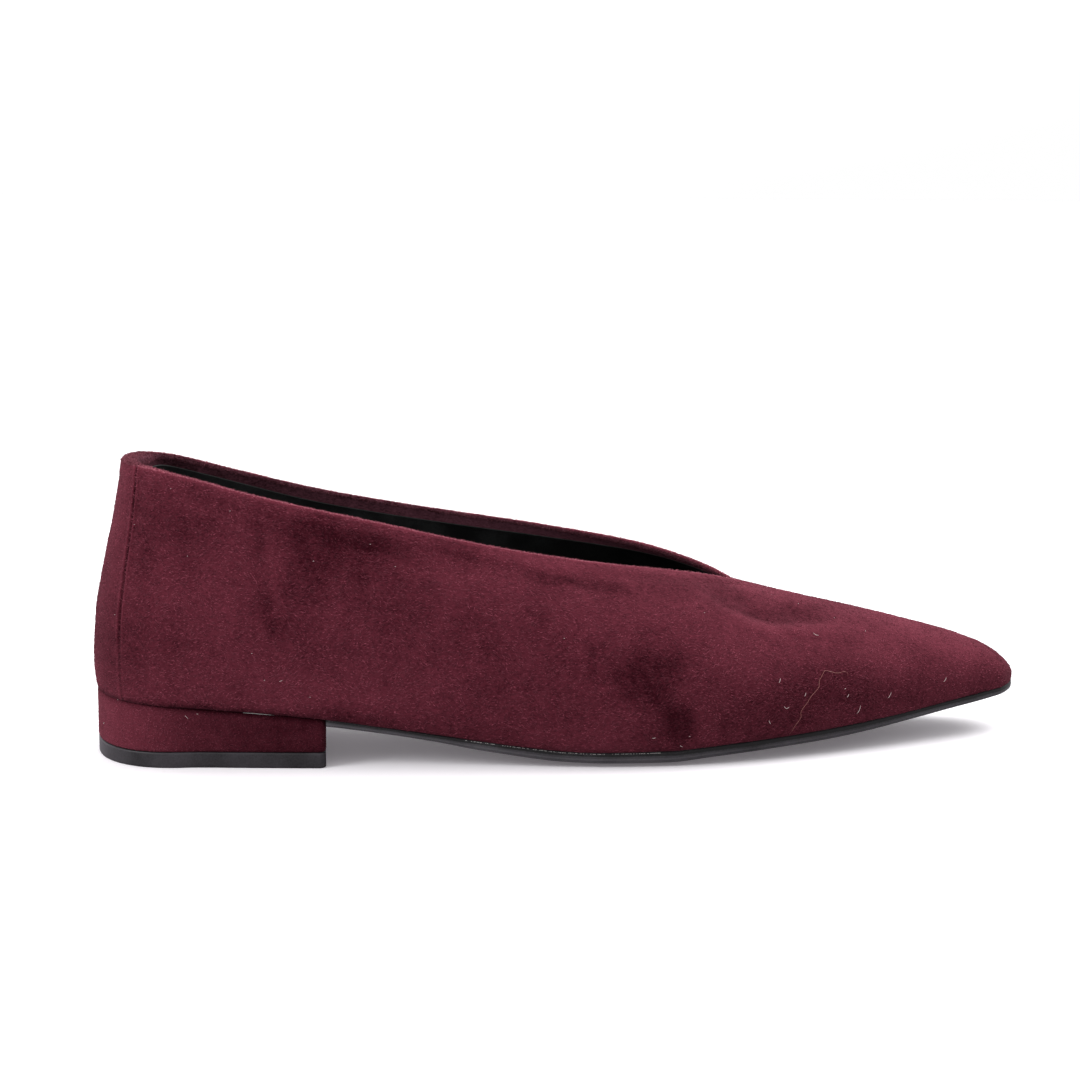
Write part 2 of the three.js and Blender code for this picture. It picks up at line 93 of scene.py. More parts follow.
TOUCH = 0.03
THROAT = LENGTH - VAMP_LENGTH
STEEPEST_WALL = 1.5
SLOPE_STEP = 0.5
LATERAL, MEDIAL = -1, 1

# Plan of the last at its widest: half widths as shares of the heel or the ball width
PLAN = table("at width lateral medial", [
    (0.0, HEEL_WIDTH, 0.488, 0.491), (0.1, HEEL_WIDTH, 0.491, 0.498),
    (0.155, HEEL_WIDTH, 0.519, 0.507), (0.24, HEEL_WIDTH, 0.558, 0.503),
    (0.325, BALL_WIDTH, 0.439, 0.38), (0.4, BALL_WIDTH, 0.461, 0.397),
    (0.48, BALL_WIDTH, 0.491, 0.437), (0.56, BALL_WIDTH, 0.512, 0.475),
    (0.615, BALL_WIDTH, 0.506, 0.492), (0.67, BALL_WIDTH, 0.478, 0.487),
    (0.73, BALL_WIDTH, 0.428, 0.453), (0.785, BALL_WIDTH, 0.371, 0.403),
    (0.842, BALL_WIDTH, 0.301, 0.332), (0.9, BALL_WIDTH, 0.229, 0.254),
    (0.957, BALL_WIDTH, 0.153, 0.17), (1.0, BALL_WIDTH, 0.083, 0.093)])
PLAN["at"] = PLAN["at"] * LENGTH
for side_name in ("lateral", "medial"):
    PLAN[side_name] = PLAN[side_name] * PLAN["width"]
# Swing of the toe to the inner side, as a share of the ball width
SWING = table("at swing", [(0.0, 0), (0.6, 0), (0.8, 0.012), (1.0, 0.042)])
# Underside: rise of the tread over the seat height, crown and sole over the sole thickness
UNDERSIDE = table("at rise crown sole", [
    (0.0, 0.842, 0.31, 0.58), (0.1, 0.745, 0.35, 0.58), (0.24, 0.582, 0.38, 0.58),
    (0.31, 0.44, 0.42, 0.48), (0.385, 0.25, 0.5, 0.62), (0.45, 0.1, 0.56, 0.77),
    (0.482, 0.036, 0.6, 0.85), (0.52, 0, 0.62, 0.94), (0.59, 0, 0.62, 1.0),
    (0.632, 0.06, 0.56, 0.95), (0.69, 0.122, 0.5, 0.92), (0.766, 0.202, 0.38, 0.92),
    (0.823, 0.29, 0.3, 0.86), (0.88, 0.405, 0.22, 0.77), (0.938, 0.525, 0.12, 0.7),
    (1.0, 0.64, 0.04, 0.62)])
# Roll of the upper under the foot: tuck over the ball width, belly over the seat height
ROLL = table("at lateral medial belly", [
    (0.0, 0.015, 0.015, 0.57), (0.155, 0.024, 0.026, 0.62), (0.24, 0.024, 0.04, 0.68),
    (0.325, 0.029, 0.055, 0.76), (0.4, 0.031, 0.053, 0.76), (0.48, 0.032, 0.042, 0.7),
    (0.575, 0.032, 0.032, 0.65), (0.73, 0.027, 0.027, 0.54), (0.842, 0.021, 0.021, 0.41),
    (0.94, 0.013, 0.013, 0.22), (1.0, 0.004, 0.004, 0.1)])
# Topline: the opening's half width over the last's, and its height over the named height
TOPLINE = table("at height lateral_out medial_out lateral_up medial_up", [
    (0.0, BACK_HEIGHT, 0.76, 0.76, 0.997, 0.997), (0.05, BACK_HEIGHT, 0.76, 0.76, 0.992, 0.989),
    (0.12, BACK_HEIGHT, 0.755, 0.76, 0.965, 0.961), (0.21, BACK_HEIGHT, 0.74, 0.77, 0.917, 0.916),
    (0.39, BACK_HEIGHT, 0.745, 0.83, 0.833, 0.826), (0.56, BACK_HEIGHT, 0.69, 0.77, 0.748, 0.764),
    (0.727, THROAT_HEIGHT, 0.535, 0.6, 1.225, 1.29),
    (0.867, THROAT_HEIGHT, 0.363, 0.371, 1.136, 1.193),
    (0.962, THROAT_HEIGHT, 0.168, 0.172, 1.055, 1.075),
    (0.99, THROAT_HEIGHT, 0.075, 0.077, 1.016, 1.02), (1.0, THROAT_HEIGHT, 0, 0, 1, 1)])
for column in ("lateral_up", "medial_up"):
    TOPLINE[column] = TOPLINE[column] * TOPLINE["height"]
# Ridge of the vamp from the throat to the tip, over the throat height
RIDGE = table("at up", [
    (-0.1, 1.06), (0.0, 1.0), (0.125, 0.936), (0.26, 0.877), (0.415, 0.811), (0.54, 0.755),
    (0.67, 0.691), (0.77, 0.636), (0.864, 0.572), (1.0, 0.49)])
ARCH = table("at power", [(0.0, 1.5), (0.4, 1.6), (0.68, 2.0), (1.0, 1.95)])
LEAN = table("at share", [(0.0, 0), (0.2, 0.09), (0.46, 0.4), (0.72, 0.735), (1.0, 1)])
NAMES = {LATERAL: "lateral", MEDIAL: "medial"}


def curve(rows, column, places):
    """A table's column as a smooth curve that never overshoots its rows: a cubic between two
    rows, whose steepness at a row is the weighted harmonic mean of its neighbours'."""
    at, value = rows["at"], rows[column]
    step = np.diff(at)
    secant = np.diff(value) / step
    before, after = secant[:-1], secant[1:]
    near, far = step[:-1], step[1:]
    level = before * after <= 0
    first = (2 * far + near) / np.where(level, 1, before)
    second = (far + 2 * near) / np.where(level, 1, after)
    mean = np.where(level, 0, 3 * (near + far) / np.where(level, 1, first + second))
    slope = np.concatenate([secant[:1], mean, secant[-1:]])
    x = np.clip(places, at[0], at[-1])
    row = np.clip(np.searchsorted(at, x, side="right") - 1, 0, len(at) - 2)
    s = (x - at[row]) / step[row]
    rise = value[row + 1] - value[row]
    leave, arrive = slope[row] * step[row], slope[row + 1] * step[row]
    bow = leave * s * (1 - s) ** 2 - arrive * s * s * (1 - s)
    return value[row] + rise * s * s * (3 - 2 * s) + bow


def smooth_step(value):
    s = np.clip(value, 0, 1)
    return s * s * (3 - 2 * s)


def band(distance, place):
    """Bell over a distance: place holds its middle, its width and its height."""
    middle, width, height = place
    return height * np.exp(-((distance - middle) / width) ** 2)


def round_off(share, power):
    """Quarter of a superellipse: 0 at the end of a form, 1 from a full reach inwards."""
    return (1 - (1 - np.clip(share, 0, 1)) ** power) ** (1 / power)


def half_width(side, x):
    ends = round_off(x / HEEL_ROUND, HEEL_ROUND_POWER) * round_off((LENGTH - x) / TOE_ROUND, 2)
    return curve(PLAN, NAMES[side], x) * ends


def centre_line(x):
    return curve(SWING, "swing", x / LENGTH) * BALL_WIDTH


def outline_point(side, x, inset):
    """Point of the plan outline at x, moved inwards by inset at right angles to it."""
    x = np.asarray(x, float)
    reach = np.clip(np.minimum(x, LENGTH - x) / 2, 1e-7, 0.05)
    low, high = np.clip(x - reach, 0, LENGTH), np.clip(x + reach, 0, LENGTH)
    ahead = centre_line(high) + side * half_width(side, high)
    behind = centre_line(low) + side * half_width(side, low)
    slope = (ahead - behind) / (2 * reach)
    out_x, out_y = -side * slope / np.hypot(1, slope), side / np.hypot(1, slope)
    out_x = np.where(x <= 0, -1, np.where(x >= LENGTH, 1, out_x))
    out_y = np.where((x <= 0) | (x >= LENGTH), 0, out_y)
    edge = centre_line(x) + side * half_width(side, x)
    return x - inset * out_x, edge - inset * out_y


def crown(x):
    return curve(UNDERSIDE, "crown", x / LENGTH) * SOLE_THICKNESS


def sole_thickness(x):
    return curve(UNDERSIDE, "sole", x / LENGTH) * SOLE_THICKNESS


def feather_height(x):
    """Height of the upper's lower edge: tread, sole, clearance and crown stacked."""
    return curve(UNDERSIDE, "rise", x / LENGTH) * SEAT_HEIGHT + sole_thickness(x) + GAP + crown(x)


def underside_height(x, across):
    """The underside is flat in its middle and curls up to its edges, where across is 1."""
    curl = np.clip(np.abs(across) - TREAD_SHARE, 0, 1) / (1 - TREAD_SHARE)
    return feather_height(x) - crown(x) * round_off(x / HEEL_ROUND, 2) * (1 - curl ** 2)


def roll_inset(side, x):
    return curve(ROLL, NAMES[side], x / LENGTH) * BALL_WIDTH


def widest_height(x):
    return feather_height(x) + curve(ROLL, "belly", x / LENGTH) * SEAT_HEIGHT


def ridge_height(x):
    """Ridge of the vamp, rounded down like a nose over its last millimetres."""
    ridge = curve(RIDGE, "up", (x - THROAT) / VAMP_LENGTH) * THROAT_HEIGHT
    tip = widest_height(np.array(float(LENGTH))) + NOSE_LIP
    return tip + (ridge - tip) * round_off((LENGTH - x) / NOSE_LENGTH, 2)


def arch_at(side, x):
    """The wall over the widest line is a superellipse arch, cut off at the topline. Returns its
    power, the open share of its width, the reached share of its height and its top."""
    power = curve(ARCH, "power", x / LENGTH)
    is_open = x < THROAT
    opening = np.where(is_open, curve(TOPLINE, NAMES[side] + "_out", x / THROAT), 0)
    top = np.where(is_open, curve(TOPLINE, NAMES[side] + "_up", x / THROAT), ridge_height(x))
    return power, opening, np.sqrt(1 - opening ** power), top


def ridge_slope(x):
    return (ridge_height(x + SLOPE_STEP / 2) - ridge_height(x - SLOPE_STEP / 2)) / SLOPE_STEP


def stiffened(x):
    """Share of the toe stiffener's full depth: 0 behind it, 1 at the tip of the toe."""
    return smooth_step(1 - (LENGTH - x) / TOE_DEPTH_REACH)


def plan_depth(x, depth):
    """Thickness of the wall in plan, which grows at the tip of the toe."""
    return depth + (depth / WALL) * (TOE_DEPTH - WALL) * stiffened(x)


def roll_point(side, x, depth, turn):
    """Quarter ellipse from the lower edge (turn 0) out and up to the widest line (turn 1)."""
    angle = turn * np.pi / 2
    inset = plan_depth(x, depth)
    tuck = np.maximum(roll_inset(side, x), inset)
    px, py = outline_point(side, x, inset + (tuck - inset) * (1 - np.sin(angle)))
    low = feather_height(px) + depth
    pz = low + (widest_height(px) - low) * (1 - np.cos(angle))
    return np.stack(np.broadcast_arrays(px, py, pz), -1)


def arch_point(side, x, depth, share):
    """Superellipse arch from the widest line (share 0) to the topline or ridge (share 1), which
    leans in over the counter. An inner skin is the same arch, smaller by its depth."""
    power, opening, reached, own_top = arch_at(side, x)
    angle = share * np.arcsin(reached)
    wide_x, wide_y = outline_point(side, x, plan_depth(x, depth))
    out = (wide_y - centre_line(wide_x)) * np.cos(angle) ** (2 / power)
    in_plan = plan_depth(x, depth)
    shift = depth * np.abs(np.sin(np.arctan(ridge_slope(x)))) + (in_plan - depth) * stiffened(x)
    shift = np.minimum(in_plan, shift)
    closed = np.sin(angle) ** 2 * (1 - opening) ** 2
    px = wide_x + (x - shift - wide_x) * closed
    foot = widest_height(wide_x)
    top = np.where(x < THROAT, own_top, ridge_height(px))
    steep = np.minimum(STEEPEST_WALL, np.hypot(1, ridge_slope(px)))
    thick = depth * np.where(x < THROAT, 1, steep)
    pz = foot + ((top - foot) / reached - thick) * np.sin(angle)
    fade = np.clip(1 - x / BACK_LEAN_REACH, 0, 1) ** 1.5
    lean = BACK_LEAN * fade * curve(LEAN, "share", (pz - foot) / (own_top - foot))
    return np.stack(np.broadcast_arrays(px + lean, centre_line(px) + out, pz), -1)


def margin_point(side, x, depth, share):
    """Lasting margin turned in under the foot: share 0 at its inner edge, 1 at the fold."""
    roll = roll_inset(side, x)
    tuck = np.maximum(roll, plan_depth(x, WALL))
    margin = MARGIN_WIDTH * smooth_step((LENGTH - x) / MARGIN_REACH)
    start = tuck if depth > 0 else roll
    px, py = outline_point(side, x, tuck + margin + (start - tuck - margin) * share)
    reached = np.abs(py - centre_line(px)) / np.maximum(1, half_width(side, px) - roll)
    pz = underside_height(px, np.minimum(1, reached)) + depth
    return np.stack(np.broadcast_arrays(px, py, pz), -1)


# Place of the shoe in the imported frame: its lowest corner gives the shift of the axes
PLAN_STATIONS = np.linspace(0, LENGTH, 2000)
LATERAL_EDGE = (centre_line(PLAN_STATIONS) - half_width(LATERAL, PLAN_STATIONS)).min()
SHIFT = np.array([CAD_BOX[0][0] * 1000, CAD_BOX[0][1] * 1000 - LATERAL_EDGE, 0])
MM = 0.001

# Finish of each piece, made further down
MATERIALS = {}


def unit(vectors):
    length = np.linalg.norm(vectors, axis=-1, keepdims=True)
    return vectors / np.maximum(length, 1e-12)


def grid_quads(rows, columns, around=False, first=0):
    """Quads of a grid of points stored row by row; around joins the last row to the first."""
    i = np.arange(rows if around else rows - 1)[:, None]
    j = np.arange(columns - 1)[None, :]
    a, b = i * columns + j, ((i + 1) % rows) * columns + j
    return np.stack([a, b, b + 1, a + 1], -1).reshape(-1, 4) + first


def make_piece(name, points, quads, finish, replaces=(), marks=None, caps=(), weld=2e-6):
    """One mesh piece from points in shoe millimetres. Where weld is given, doubles are merged
    and the faces of the closed result are turned outwards. marks are values per point for the
    finish to read."""
    mesh = bpy.data.meshes.new(name)
    vertices = (np.asarray(points).reshape(-1, 3) + SHIFT) * MM
    mesh.from_pydata(vertices, [], [tuple(face) for face in quads.tolist()] + list(caps))
    for label, values in (marks or {}).items():
        attribute = mesh.attributes.new(label, "FLOAT", "POINT")
        attribute.data.foreach_set("value", np.asarray(values, np.float32).ravel())
    if weld:
        work = bmesh.new()
        work.from_mesh(mesh)
        bmesh.ops.remove_doubles(work, verts=work.verts, dist=weld)
        bmesh.ops.dissolve_degenerate(work, edges=work.edges, dist=1e-7)
        bmesh.ops.recalc_face_normals(work, faces=work.faces)
        work.to_mesh(mesh)
        work.free()
    mesh.polygons.foreach_set("use_smooth", np.ones(len(mesh.polygons), bool))
    piece = bpy.data.objects.new(name, mesh)
    bpy.context.scene.collection.objects.link(piece)
    mesh.materials.append(MATERIALS[finish])
    if replaces:
        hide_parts(*replaces)
    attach(piece, "root")


# The suede upper
SEAM_ANGLE, SEAM_BAND = 45, 5
SEAM_SWAY = 3.4
THROAT_BAND = 12
MARGIN_STEPS, ROLL_STEPS, ARCH_STEPS = 3, 9, 56
FACING_STEPS, INNER_STEPS, INNER_ROLL_STEPS = 10, 10, 7
RIM_STEPS, RIM_BULGE = 9, 0.4
RIM_STRIP_TONE = (0.7, 0.15, 0.3)
FACING_WIDTH, FACING_BACK_WIDTH, FACING_REACH = 2.5, 1.3, 60
COUNTER_PAD, COUNTER_PAD_REACH = 0.9, 48
STRIP_PAD, STRIP_PAD_REACH = 2.3, 13
# Inside the wall the suede is darker, partly its nap and partly painted shade, and painted light lifts
# it towards the throat
INNER_SHADE_AND_NAP, INNER_LIGHT_RISE = -0.22, 0.55
GROUND_TONE = -0.06
TOE_PRESS = 0.55
# Height of the waves, and bands of relief: middle, width and height in millimetres
WAVES, FINE_WAVES = 0.13, 0.03
SEAM_GROOVE, SEAM_LIPS = (0, 0.36, 0.45), (1.0, 0.6, 0.2)
TOP_SWELLING, TOP_FOLD = (2.2, 1.6, 0.1), (4.6, 1.2, 0.14)
# Strength of the waves in tone, and bands of tone: middle and width in millimetres, strength
WAVE_TONE, FINE_TONE, STRIP_TONE = 0.03, 0.02, 0.07
SEAM_TONE, LIP_TONE = (0, 0.34, -0.34), (0.95, 0.4, 0.16)
# Painted highlights: a lighter band on the swelling under the topline, and a lighter topline edge
SWELLING_HIGHLIGHT, EDGE_HIGHLIGHT = (2, 1.5, 0.06), (0, 0.55, 0.55)
# Painted shade where the upper meets the sole, and more where it meets the heel
FEATHER_SHADE, JOINT_SHADE = (0, 0.9, 0.12), (0, 1.2, 0.3)


def shoe_stations():
    """Places along one side from the back to the toe, as pairs of arrays: the angle round the
    heel where it counts, and x. They crowd at the seam, the throat and the toe."""
    angle = np.concatenate([
        np.linspace(0, SEAM_ANGLE - SEAM_BAND, 30)[:-1],
        np.linspace(SEAM_ANGLE - SEAM_BAND, SEAM_ANGLE + SEAM_BAND, 49)[:-1],
        np.linspace(SEAM_ANGLE + SEAM_BAND, 90, 34)[:-1]])
    quarter = np.linspace(HEEL_ROUND, THROAT - THROAT_BAND, 132)[:-1]
    throat = np.linspace(THROAT - THROAT_BAND, THROAT, 30)[:-1]
    vamp = np.linspace(THROAT, LENGTH - TOE_ROUND, 82)[:-1]
    toe = LENGTH - TOE_ROUND * (1 - np.sin(np.linspace(0, np.pi / 2, 24)))
    heel = HEEL_ROUND * (1 - np.cos(np.radians(angle)))
    x = np.concatenate([heel, quarter, throat, vamp, toe])
    return x, np.concatenate([angle, np.full(len(x) - len(angle), 90)])


def swayed(x, angle, up):
    """x of a station at a share up of the wall. Stations near the back strip's seam lean with
    it: it stands nearer to the centre back at the bottom than at the top."""
    sway = SEAM_SWAY * (1 - 2 * up) * np.sin(np.radians(2 * angle)) ** 2
    return np.where(angle < 90, HEEL_ROUND * (1 - np.cos(np.radians(angle + sway))), x)


def wall_at(x, up):
    """Thickness of the wall: the topline is padded round the counter, most of all on the back
    strip."""
    counter = COUNTER_PAD * smooth_step(1 - x / COUNTER_PAD_REACH) * smooth_step((up - 0.45) / 0.35)
    strip = STRIP_PAD * smooth_step(1 - x / STRIP_PAD_REACH) * smooth_step((up - 0.7) / 0.25)
    return WALL + counter + strip


def skin(side, x, angle, is_inner, margins, turns, shares):
    """Grid of points of one skin of the wall: margin, roll and arch, station by station."""
    x, angle = x[:, None], angle[:, None]
    up = shares[None, :]
    foot = swayed(x, angle, 0.0)
    depth = WALL if is_inner else 0
    arch_depth = wall_at(x, up) if is_inner else 0
    rows = [margin_point(side, foot, depth, margins[None, :]),
            roll_point(side, foot, depth, turns[None, :]),
            arch_point(side, swayed(x, angle, up), arch_depth, up)]
    return np.concatenate(rows, 1)


def loop_of(lateral, medial):
    """Both sides as one loop of stations: toe, outer side, heel, inner side."""
    return np.concatenate([lateral[::-1], medial[1:-1]])


def loop_normals(points, closed):
    """Normals of a loop of profiles that run upwards, made equal where both sides meet at the
    ridge. The cross product of the step up and the step along the loop points outwards."""
    up = np.gradient(points, axis=1)
    along = np.roll(points, -1, 0) - np.roll(points, 1, 0)
    normals = unit(np.cross(up, along))
    mirror = (len(points) - np.arange(len(points))) % len(points)
    both = unit(normals[:, -1] + normals[mirror][:, -1])
    normals[:, -1] = np.where(closed[:, None], both, normals[:, -1])
    return normals


def rim_points(outer, inner, x):
    """Rounded edge of the topline: half an ellipse from the outer to the inner skin, raised at
    right angles to the run of the edge, and straight back at the tip of the throat."""
    run = np.roll(outer, -1, 0) - np.roll(outer, 1, 0)
    through = outer - inner
    raised = unit(np.cross(run, through))
    raised[np.isclose(x, THROAT)] = (-1, 0, 0)
    angle = np.linspace(0, np.pi, RIM_STEPS)[None, 1:-1, None]
    middle, radius = (outer + inner)[:, None] / 2, through[:, None] / 2
    thick = np.linalg.norm(through, axis=-1)[:, None, None]
    return middle + radius * np.cos(angle) + raised[:, None] * thick * RIM_BULGE * np.sin(angle)


def blobs(points, rows, share, power):
    """Sum of soft spots, times each point's share in them. A spot has a place along and up, two
    radii, a turn in degrees and a strength, and fades as a bell over the tilted ellipse, with a
    firmer border the higher the power."""
    total = np.zeros(points.shape[:-1])
    for row in np.stack(list(rows.values()), 1):
        along, up, wide, tall, turn, strength = row
        dx, dz = points[..., 0] - along, points[..., 2] - up
        c, s = np.cos(np.radians(turn)), np.sin(np.radians(turn))
        u, v = (dx * c + dz * s) / wide, (dz * c - dx * s) / tall
        total += strength * np.exp(-(u * u + v * v) ** power)
    return total * share


HOLLOW_POWER, NAP_AND_LIGHT_POWER = 1.4, 1.9
OVER_RIDGE = 5
# Troughs and swellings of the outer side, in millimetres
HOLLOWS = table("along up wide tall turn depth", [
    (45.5, 63, 3.2, 8, 8, -0.3), (48.5, 49, 3.0, 11, 8, -0.35), (53.5, 47, 4.5, 14, 8, 0.3),
    (57, 58, 9, 6, -10, -0.35), (72, 57, 14, 3.2, -14, -0.3), (90, 54.5, 12, 3, -12, -0.25),
    (120, 50, 20, 3, -13, -0.35), (136, 47.5, 9, 2.2, -15, -0.3), (147, 26, 12, 8, 0, -0.35),
    (157, 13, 6, 7, -20, -0.3), (214, 36, 12, 4, -14, 0.3), (175, 41.5, 9, 2.6, -25, -1.1),
    (190, 37.2, 11, 2.2, -8, -1.15), (178, 37, 8, 2.2, -28, 0.45), (195, 34, 12, 2, -6, 0.5),
    (188, 41.5, 14, 1.6, -13, 0.5), (33, 30, 13, 10, 0, 0.35), (110, 30, 18, 10, -10, 0.3),
    (205, 20, 14, 6, -14, -0.2), (15, 24, 5, 5, 0, -0.2), (76, 26, 15, 8, -8, -0.25)])
# Spots of nap laid the other way, and, at the same places as the troughs and swellings above, painted
# shade and painted highlights: darker below 0, lighter above
NAP_AND_LIGHT_SPOTS = table("along up wide tall turn tone", [
    (132.8, 28.5, 1.4, 6, 0, -0.15), (135.8, 33.6, 4.6, 1.3, 35, -0.12),
    (139, 26.5, 5, 6, 0, -0.07), (147, 25.5, 9.5, 7.5, -10, -0.26), (146.5, 27.5, 4, 3, 0, -0.07),
    (155, 29.5, 5, 3.4, 20, -0.12), (145, 21, 4, 4, 0, -0.07), (149, 27.2, 1.1, 1.1, 0, 0.09),
    (156.7, 13, 4.6, 5.6, 20, -0.34), (152.5, 17.5, 4.8, 2.4, -40, -0.13),
    (175, 41.8, 9, 2.4, -25, -0.18), (191, 37.2, 12, 2, -8, -0.2), (180, 36.3, 9, 1.7, -25, 0.12),
    (196, 33.8, 12, 1.6, -5, 0.14), (188, 41.8, 13, 1.4, -13, 0.2), (136, 48, 9, 2, -14, -0.2),
    (121, 50.4, 9, 1.8, -13, -0.14), (74, 60.5, 13, 2.4, -14, -0.2), (61, 58, 8, 6, -20, -0.16),
    (57, 50, 6, 7, 0, -0.14), (45.5, 61, 1.5, 7, 3, -0.14), (48, 42, 1.6, 9, 6, -0.14),
    (53, 38, 6, 3.5, -10, -0.14), (50, 51, 2.4, 12, 6, 0.06), (30, 46, 12, 9, 15, 0.08),
    (39, 36, 9, 8, 0, 0.06), (88, 54, 16, 3, -13, 0.08), (105, 46, 17, 6, -14, 0.08),
    (112, 37, 12, 7, -10, 0.04), (150, 44, 16, 6, -12, 0.08), (176, 29, 12, 8, -10, 0.06),
    (214, 26, 14, 6, -18, 0.06), (20, 68, 8, 5, -16, -0.1), (28, 64, 7, 4, 0, -0.08),
    (40, 22, 42, 9, -2, 0.09), (92, 41, 30, 10, -8, -0.09), (70, 24, 14, 4, -8, -0.05),
    (206, 27, 34, 11, -18, 0.12), (112, 24, 9, 4, 0, -0.05), (128, 42, 8, 5, 0, 0.05),
    (186, 12, 22, 6, 5, -0.1), (68, 59, 18, 6, -14, -0.17), (211, 18.5, 24, 6, -13, -0.22),
    (238, 27.5, 16, 4, -20, 0.26), (5, 36, 6, 16, 0, -0.18), (72, 22, 16, 5.5, -4, 0.12),
    (90, 30, 14, 9, -8, 0.08), (122, 53.4, 22, 1.5, -13, 0.22), (156, 50, 9, 1.4, -14, 0.15),
    (157, 46, 9, 2, -14, -0.1), (68, 14.5, 9, 2.5, -8, -0.22), (126, 7, 12, 4, 0, 0.08),
    (38, 45, 8, 8, 0, 0.06), (79, 13, 5, 2, -8, -0.1), (57, 64.5, 9, 3, -14, -0.14),
    (188, 16, 10, 8, 0, -0.1), (151, 9, 9, 6, 0, -0.1), (13, 33, 3.5, 7, 0, -0.12),
    (98, 58, 6, 3, -14, -0.14), (63, 67, 6, 2.5, -14, -0.15), (222, 33, 10, 3, -18, 0.1),
    (14, 60, 5, 12, 0, -0.08), (56, 20, 8, 8, 0, 0.1), (63, 45, 6, 7, 0, 0.1)])


def unevenness(points):
    """Gentle waves of hand-drawn suede: a few long sines that run across each other."""
    x, y, z = np.moveaxis(points, -1, 0)
    waves = np.sin(x / 6.1 + z / 9.7 + 1.3) + np.sin(x / 9.4 - z / 5.3 + y / 11) + np.sin(
        z / 6.7 + y / 8.3 - x / 14.9 + 0.6)
    fine = np.sin(x / 2.3 + z / 3.1) * np.sin(z / 2.7 - x / 4.4 + y / 3.7)
    return waves / 3, fine


def seam_offset(angle):
    """Distance round the counter from the back strip's seam, in millimetres."""
    return (angle - SEAM_ANGLE) * np.radians(HEEL_ROUND)


def outer_share(side, from_top, closed):
    """Share in the outer side's spots: all of them there, and on the inner side only a rest that
    fades down from the ridge of the vamp, where both sides meet."""
    rest = np.where(closed[:, None], band(from_top, (0, OVER_RIDGE, 1)), 0)
    return np.where(side[:, None] == LATERAL, 1, rest)


def relief(points, side, angle, up, from_top, closed):
    """Height in millimetres that the suede stands over the smooth last: troughs and swellings,
    the seams of the back strip, the folded topline and the pull of the lasting."""
    waves, fine = unevenness(points)
    calm = smooth_step((points[..., 2] - 3) / 6)
    height = WAVES * waves * calm + FINE_WAVES * fine
    height = height + blobs(points, HOLLOWS, outer_share(side, from_top, closed), HOLLOW_POWER)
    away = seam_offset(angle)[:, None]
    seam = band(np.abs(away), SEAM_LIPS) - band(away, SEAM_GROOVE)
    height = height + seam * smooth_step(up / 0.15)[None, :]
    edge = band(from_top, TOP_SWELLING) - band(from_top, TOP_FOLD)
    return height + np.where(closed[:, None], 0, edge)


def nap_and_painted_light_tone(points, side, angle, up, from_top, closed):
    """Tone of the nap at each point, with painted shade and painted highlights added, between -0.5 and
    0.5.
    """
    waves, fine = unevenness(points * (1.0, 1.0, 1.3) + 40)
    share = outer_share(side, from_top, closed)
    # Spots of nap laid the other way, with painted shade in the troughs and painted highlights on the
    # swellings
    tone = GROUND_TONE + blobs(points, NAP_AND_LIGHT_SPOTS, share, NAP_AND_LIGHT_POWER)
    tone = tone + WAVE_TONE * waves + FINE_TONE * fine
    away = seam_offset(angle)[:, None]
    open_seam = 0.35 + 0.65 * smooth_step((up - 0.74) / 0.12)[None, :]
    tone = tone + open_seam * band(away, SEAM_TONE) + band(np.abs(away), LIP_TONE)
    tone = tone + STRIP_TONE * smooth_step(-away / 2)
    # Painted highlight along the rounded topline edge, left off the back strip
    edge = band(from_top, EDGE_HIGHLIGHT) * smooth_step((angle - 30) / 20)[:, None]
    # Painted highlight: a lighter band on the swelling just below the topline
    tone = tone + np.where(closed[:, None], 0, band(from_top, SWELLING_HIGHLIGHT) + edge)
    # Painted shade darkens the lower edge of the upper, in the crease at the sole and, more, at the
    # heel
    rise = points[..., 2] - feather_height(np.clip(points[..., 0], 0, LENGTH))
    on_heel = smooth_step((HEEL_LENGTH - points[..., 0]) / 4)
    low = band(rise, FEATHER_SHADE) + on_heel * band(rise, JOINT_SHADE)
    return np.clip(tone - low, -0.5, 0.5)


def blunted(points):
    """Points whose last millimetres at the tip of the toe are pressed back a little."""
    back = TOE_PRESS * smooth_step((points[..., 0] - LENGTH + TOE_ROUND) / TOE_ROUND)
    return points - back[..., None] * (1, 0, 0)


